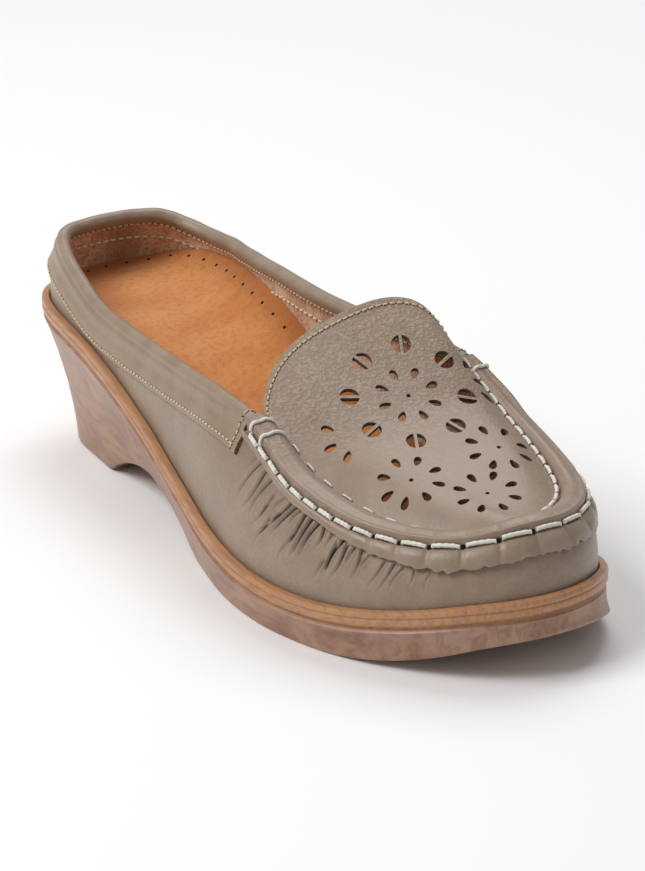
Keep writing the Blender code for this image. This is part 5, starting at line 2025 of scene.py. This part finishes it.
    def build(self) -> None:
        """Build the apron from the lateral tab by the toe to the medial tab, and its seams."""
        last, bench = self.last, self.bench
        start = last.tab_turn
        turns = [start + (1 - start) * k / self.columns for k in range(self.columns + 1)]
        stations = ([last.station(t, Side.LATERAL) for t in turns]
                    + [last.station(t, Side.MEDIAL) for t in reversed(turns[:-1])])
        t = self.stitch_share + 0.004
        seam = last.wall_row([(st, t, last.gap + last.seam_step(st, t) + self.strip_thickness - 0.62)
                              for st in stations])
        seam.outs = unit(seam.outs + UP * 0.35)
        holes = self.seam_holes(seam)
        sections = []
        for st, way in zip(stations, seam.lengths()):
            toe = soft_step((st.along - 0.80) / 0.14)
            rag = float(np.interp(way * 1.9, np.arange(len(self.ragged)), self.ragged)) * (0.35 + 0.9 * toe)
            sections.append(self.section(st, *self.pucker(way, holes, toe), rag))
        grid = np.array(sections)
        self.ease_spine(grid)
        bead_count = grid.shape[1] - self.plug_rows
        join = bead_count - 1 + self.edge_row
        sheet = Sheet(last)
        sheet.bridge([sheet.points(grid[:, j]) for j in range(join + 1)], False)
        self.perforated(sheet, grid[:, join:])
        apron = sheet.make("apron_leather", [bench.leather, bench.suede, bench.cut_edge], 60.0, False)
        self.dress(apron)
        self.sew_seams(grid, seam, holes, bead_count)

    def grain(self, u: float, v: float, z: float) -> float:
        """Strength of the grain: full on the instep's middle, weak at the toe and the edges."""
        side = 1 - 0.4 * soft_step((abs(v) - 20) / 20)
        return 0.18 + 0.80 * (1 - soft_step((u - 142) / 58)) * soft_step((z - 42) / 10) * side

    def dress(self, apron: Object) -> None:
        """Turn the open sheet's faces up and out, give it grain and thickness, and let it ride.

        Args:
            apron: the open sheet.
        """
        data = bmesh.new()
        data.from_mesh(apron.data)
        bmesh.ops.remove_doubles(data, verts=data.verts, dist=2e-6)
        bmesh.ops.recalc_face_normals(data, faces=data.faces)
        if max(data.faces, key=lambda f: f.calc_center_median().z).normal.z < 0:
            bmesh.ops.reverse_faces(data, faces=data.faces)
        data.to_mesh(apron.data)
        data.free()
        apron.data.shade_smooth()
        self.last.mark(apron, "grain", self.grain)
        solid = apron.modifiers.new("thickness", "SOLIDIFY")
        for name, value in {"thickness": self.thickness * MM, "offset": -1.0, "use_even_offset": False,
                            "use_quality_normals": True, "material_offset": 1,
                            "material_offset_rim": 2}.items():
            setattr(solid, name, value)
        apron.data = applied(apron)
        apron.data.set_sharp_from_angle(angle=math.radians(60))
        # No painted shade on the apron's suede underside.
        self.last.mark(apron, "painted_shade", lambda u, v, z: 0.0)
        settle(apron, "apron")

    def sew_seams(self, grid: np.ndarray, seam: Row, holes: np.ndarray, bead_count: int) -> None:
        """Lay the moccasin seam, the rows beside the bead, the throat's row and the loops over the bead.

        Args:
            grid: sections by station.
            seam: line of the moccasin seam.
            holes: ways of its holes.
            bead_count: rows of the margin and the bead in each section.
        """
        last, bench, count = self.last, self.bench, len(grid)
        bench.sew("moccasin_seam", "apron", seam, holes,
                  Stitch(bench.white, 1.3, 0.84, 0.50, -0.34, 0.05, False))
        bench.prick("seam_holes", "apron", seam, holes, Hole(1.5, 0.40, length=1.2))
        normals = surface_normals(grid)
        for name, part, up, pitch, thick, share, hole in (
                ("inner_row_lateral", slice(14, int(count * 0.32)), 2, 7.4, 0.66, 0.44, None),
                ("inner_row_medial", slice(int(count * 0.60), count - 6), 3, 4.6, 1.15, 0.84,
                 Hole(1.1, 0.06))):
            row = Row(last, grid[part, bead_count + up], normals[part, bead_count + up])
            bench.sew(name, "apron", row, row.even_holes(pitch),
                      Stitch(bench.white, thick, share, 0.34, 0.0, fine=False), hole)
        inset, first = 2, bead_count + 1
        row = Row(last, *(np.vstack([part[inset, first:], part[-1 - inset, first:][::-1]])
                          for part in (grid, normals)))
        bench.sew("throat_row", "apron", row, row.even_holes(2.0, 0.8, 0.8),
                  Stitch(bench.yellow, 0.62, 0.66, 0.24), Hole(0.65, 0.04, 6))
        lines, first = [], 4 * self.bead_rows
        for way, lean in ((holes[0], 2.0), (holes[1], 2.0), (holes[-1], -2.0)):
            column, line = float(np.interp(way, seam.lengths(), np.arange(count))), []
            for j in range(first, bead_count + 1):
                place = column + lean * (j - first) / (bead_count - first)
                k = int(place)
                line.append(grid[k, j] + (grid[k + 1, j] - grid[k, j]) * (place - k) + normals[k, j] * 0.42)
            lines.append(np.array(line))
        bench.sweep("bead_loops", "apron", lines, 0.95, bench.white)


@dataclass
class Footbed:
    """Cushioned insole with a cupped edge, and a row of dark spots inside the edge that paint the shade of
    punched dots.
    """

    last: Last
    bench: Workbench
    clearance: float = 0.4
    below_band: float = 2.4
    dish: float = 2.6
    rows: int = 150
    across: int = 40
    dot: float = 1.25
    dot_pitch: float = 6.9
    medial_inset: float = 3.4
    lateral_inset: float = 4.8
    heel_turn: float = 0.10
    waist_turn: float = 0.60

    def __post_init__(self) -> None:
        """Make the curves of the face."""
        self.middle, *self.rims = (Curve(INSOLE_FACE, k) for k in (1, 2, 3))

    def face_row(self, turn: float) -> tuple[np.ndarray, np.ndarray]:
        """Upper and lower points across the insole.

        Args:
            turn: 0 at the heel, 1 at the tip.

        Returns:
            Both rows, from the medial to the lateral edge.
        """
        last = self.last
        lateral, medial = (last.station(turn, side) for side in Side)
        rim = lateral.rim
        edges, lows = [], []
        for st, curve in ((medial, self.rims[1]), (lateral, self.rims[0])):
            z = min(rim + curve.at(st.along), st.top_z - last.band_turn_in - self.below_band)
            edges.append(last.on_wall(st, st.share(z), -last.wall - self.clearance))
            edges[-1][2] = z
            low_out = -last.rim_ledge - last.wall - 1.5 * self.clearance
            lows.append(np.array([*(st.place + st.out * low_out), rim - last.tray_depth + last.gap]))
        upper, under = [], []
        for c in np.linspace(-1, 1, self.across + 1):
            share = (c + 1) / 2
            blend = 1.0 if turn in (0.0, 1.0) else abs(c) ** self.dish
            line = edges[0] + (edges[1] - edges[0]) * share
            upper.append((line[0], line[1],
                          (rim + self.middle.at(lateral.along)) * (1 - blend) + edges[int(c > 0)][2] * blend))
            under.append(lows[0] + (lows[1] - lows[0]) * share)
        return np.array(upper), np.array(under)

    def painted_shade(self, u: float, v: float, z: float) -> float:
        """Painted shade: darker towards the edge and under the apron.

        Args:
            u: way forward.
            v: way aside.
            z: height, which doesn't count.

        Returns:
            The share.
        """
        turn = round(turn_share(u / self.last.length), 3)
        lateral, medial = (self.last.station(turn, side).place[1] for side in Side)
        edge = min(lateral - v, v - medial, u * 0.8)
        return min(0.62 * (1 - soft_step((edge - 3.0) / 12)) + 1.2 * soft_step((u - 124) / 40), 1.3)

    def build(self) -> None:
        """Build the footbed and its dots."""
        turns = [0.0, 0.004, 0.009, *[0.015 + 0.97 * k / self.rows for k in range(self.rows + 1)],
                 0.991, 0.996, 1.0]
        sheet = Sheet(self.last)
        pairs = [self.face_row(t) for t in turns]
        upper, lower = ([sheet.points(pair[k]) for pair in pairs] for k in (0, 1))
        sheet.bridge(upper, False)
        sheet.bridge(lower, False)
        for end in (0, -1):
            sheet.bridge([[row[end] for row in upper], [row[end] for row in lower]], False)
            sheet.bridge([upper[end], lower[end]], False)
        bed = sheet.make("footbed", [self.bench.nubuck], 40.0)
        # Painted shade along the footbed's edge and under the apron.
        self.last.mark(bed, "painted_shade", self.painted_shade)
        settle(bed, "insole")
        row = self.dot_row()
        plan = Row(self.last, row.points * (1, 1, 0), row.outs)
        ways = np.interp(plan.even_holes(self.dot_pitch, 2.0, 2.0), plan.lengths(), row.lengths())
        self.bench.prick("footbed_dots", "insole", row, ways, Hole(self.dot, 0.05, 12))

    def dot_row(self) -> Row:
        """Draw the line of the dots, inside the edge from the medial waist round the heel.

        Returns:
            The row.
        """
        points, outs = [], []
        heel, waist = self.heel_turn, self.waist_turn
        for turn, hand in [*((t, 0) for t in np.linspace(waist, heel, 40)),
                           *((heel, s) for s in np.linspace(0.0, 1.0, 17)[1:-1]),
                           *((t, 1) for t in np.linspace(heel, waist, 40))]:
            upper = self.face_row(float(turn))[0]
            width = float(np.linalg.norm(upper[-1] - upper[0]))
            inset = (self.lateral_inset if hand else self.medial_inset) / width
            place = (min(inset, 0.5) + (1 - 2 * min(inset, 0.5)) * hand) * (len(upper) - 1)
            k = min(int(place), len(upper) - 2)
            ahead = self.face_row(float(turn) + 0.01)[0]
            normal = unit(np.cross(ahead[k] - upper[k], upper[k + 1] - upper[k]))
            line = upper
            if 0 < hand < 1:
                line = self.face_row(heel - 0.055 * math.sin(math.pi * hand) ** 0.6)[0]
            points.append(line[k] + (line[k + 1] - line[k]) * (place - k))
            outs.append(normal * math.copysign(1.0, normal[2]))
        return Row(self.last, np.array(points), np.array(outs))


@dataclass(frozen=True)
class Studio:
    """Pale floor, soft lights and the camera at the photograph's angle, in metres."""

    floor_size: float = 6.0
    floor_colour: Colour = (0.93, 0.93, 0.93)
    sky_strength: float = 0.34
    lights: Sequence[tuple[str, Colour, float, float]] = (
        ("key_light", (-0.95, 0.15, 1.2), 0.8, 14.5), ("top_light", (0.55, 0.6, 1.5), 1.0, 11.0))
    light_target: Colour = (0.0, 0.0, 0.03)
    position: Colour = (-0.4337, -0.7499, 0.3678)
    right: Colour = (0.8268763, -0.5623467, 0.0064636)
    up: Colour = (0.1630984, 0.2507880, 0.9542035)
    back: Colour = (-0.5382142, -0.7879540, 0.2990885)
    focal: float = 1744.54
    image: tuple[int, int] = (645, 871)
    aim_at: tuple[float, float] = (214.0, 556.5)
    closer: float = 1.9
    sensor: float = 36.0

    def floor(self) -> None:
        """Lay the floor."""
        paint = Paint("studio_floor")
        colour = paint.blend(paint.ramp(paint.noise(900.0, 1.0), 0.3, 0.7), self.floor_colour,
                             tuple(c * 0.985 for c in self.floor_colour))
        half = self.floor_size / 2
        mesh = bpy.data.meshes.new("studio_floor")
        mesh.from_pydata([(-half, -half, 0), (half, -half, 0), (half, half, 0), (-half, half, 0)], [],
                         [(0, 1, 2, 3)])
        mesh.materials.append(paint.finish(Base_Color=colour, Roughness=0.85, Specular_IOR_Level=0.1))
        stand("studio_floor", mesh)

    def light(self, name: str, place: Colour, size: float, power: float) -> None:
        """Set one square soft light.

        Args:
            name: name of the light.
            place: where it stands.
            size: length of its side.
            power: power in watts.
        """
        data = bpy.data.lights.new(name, "AREA")
        data.size, data.energy = size, power
        lamp = stand(name, data)
        lamp.location, lamp.rotation_mode = place, "QUATERNION"
        lamp.rotation_quaternion = (Vector(self.light_target) - Vector(place)).to_track_quat("-Z", "Y")

    def sky(self) -> None:
        """Fill the room with even light."""
        world = bpy.data.worlds.new("studio_room")
        world.use_nodes = True
        shade = world.node_tree.nodes["Background"].inputs
        shade["Color"].default_value = (1.0, 1.0, 1.0, 1.0)
        shade["Strength"].default_value = self.sky_strength
        bpy.context.scene.world = world

    def camera(self) -> None:
        """Stand the camera where the photograph was taken, turned to the one shoe."""
        right, up, back = (Vector(v) for v in (self.right, self.up, self.back))
        x = (self.aim_at[0] - self.image[0] / 2) / self.focal
        y = (self.image[1] / 2 - self.aim_at[1]) / self.focal
        look = (right * x + up * y - back).normalized()
        side = look.cross(up).normalized()
        data = bpy.data.cameras.new("photo_camera")
        data.sensor_width, data.clip_start, data.clip_end = self.sensor, 0.02, 30.0
        data.lens = self.focal / max(self.image) * self.sensor * self.closer
        camera = stand("photo_camera", data)
        turned = Matrix((side, side.cross(look).normalized(), -look)).transposed()
        camera.matrix_world = Matrix.Translation(Vector(self.position)) @ turned.to_4x4()
        bpy.context.scene.camera = camera

    def build(self) -> None:
        """Set up the whole studio."""
        self.floor()
        self.sky()
        for row in self.lights:
            self.light(*row)
        self.camera()
        bpy.context.scene.view_settings.view_transform = "Standard"


def main() -> None:
    """Build the shoe piece by piece, then the studio."""
    logging.basicConfig(level=logging.INFO, format="%(name)s %(message)s")
    last = Last()
    bench = Workbench(last)
    apron = Apron(last, bench)
    for part in (Sole(last, bench), SideWall(last, bench, apron), HeelBand(last, bench), Lining(last, bench),
                 Footbed(last, bench), apron, Studio()):
        part.build()


if __name__ == "__main__":
    main()
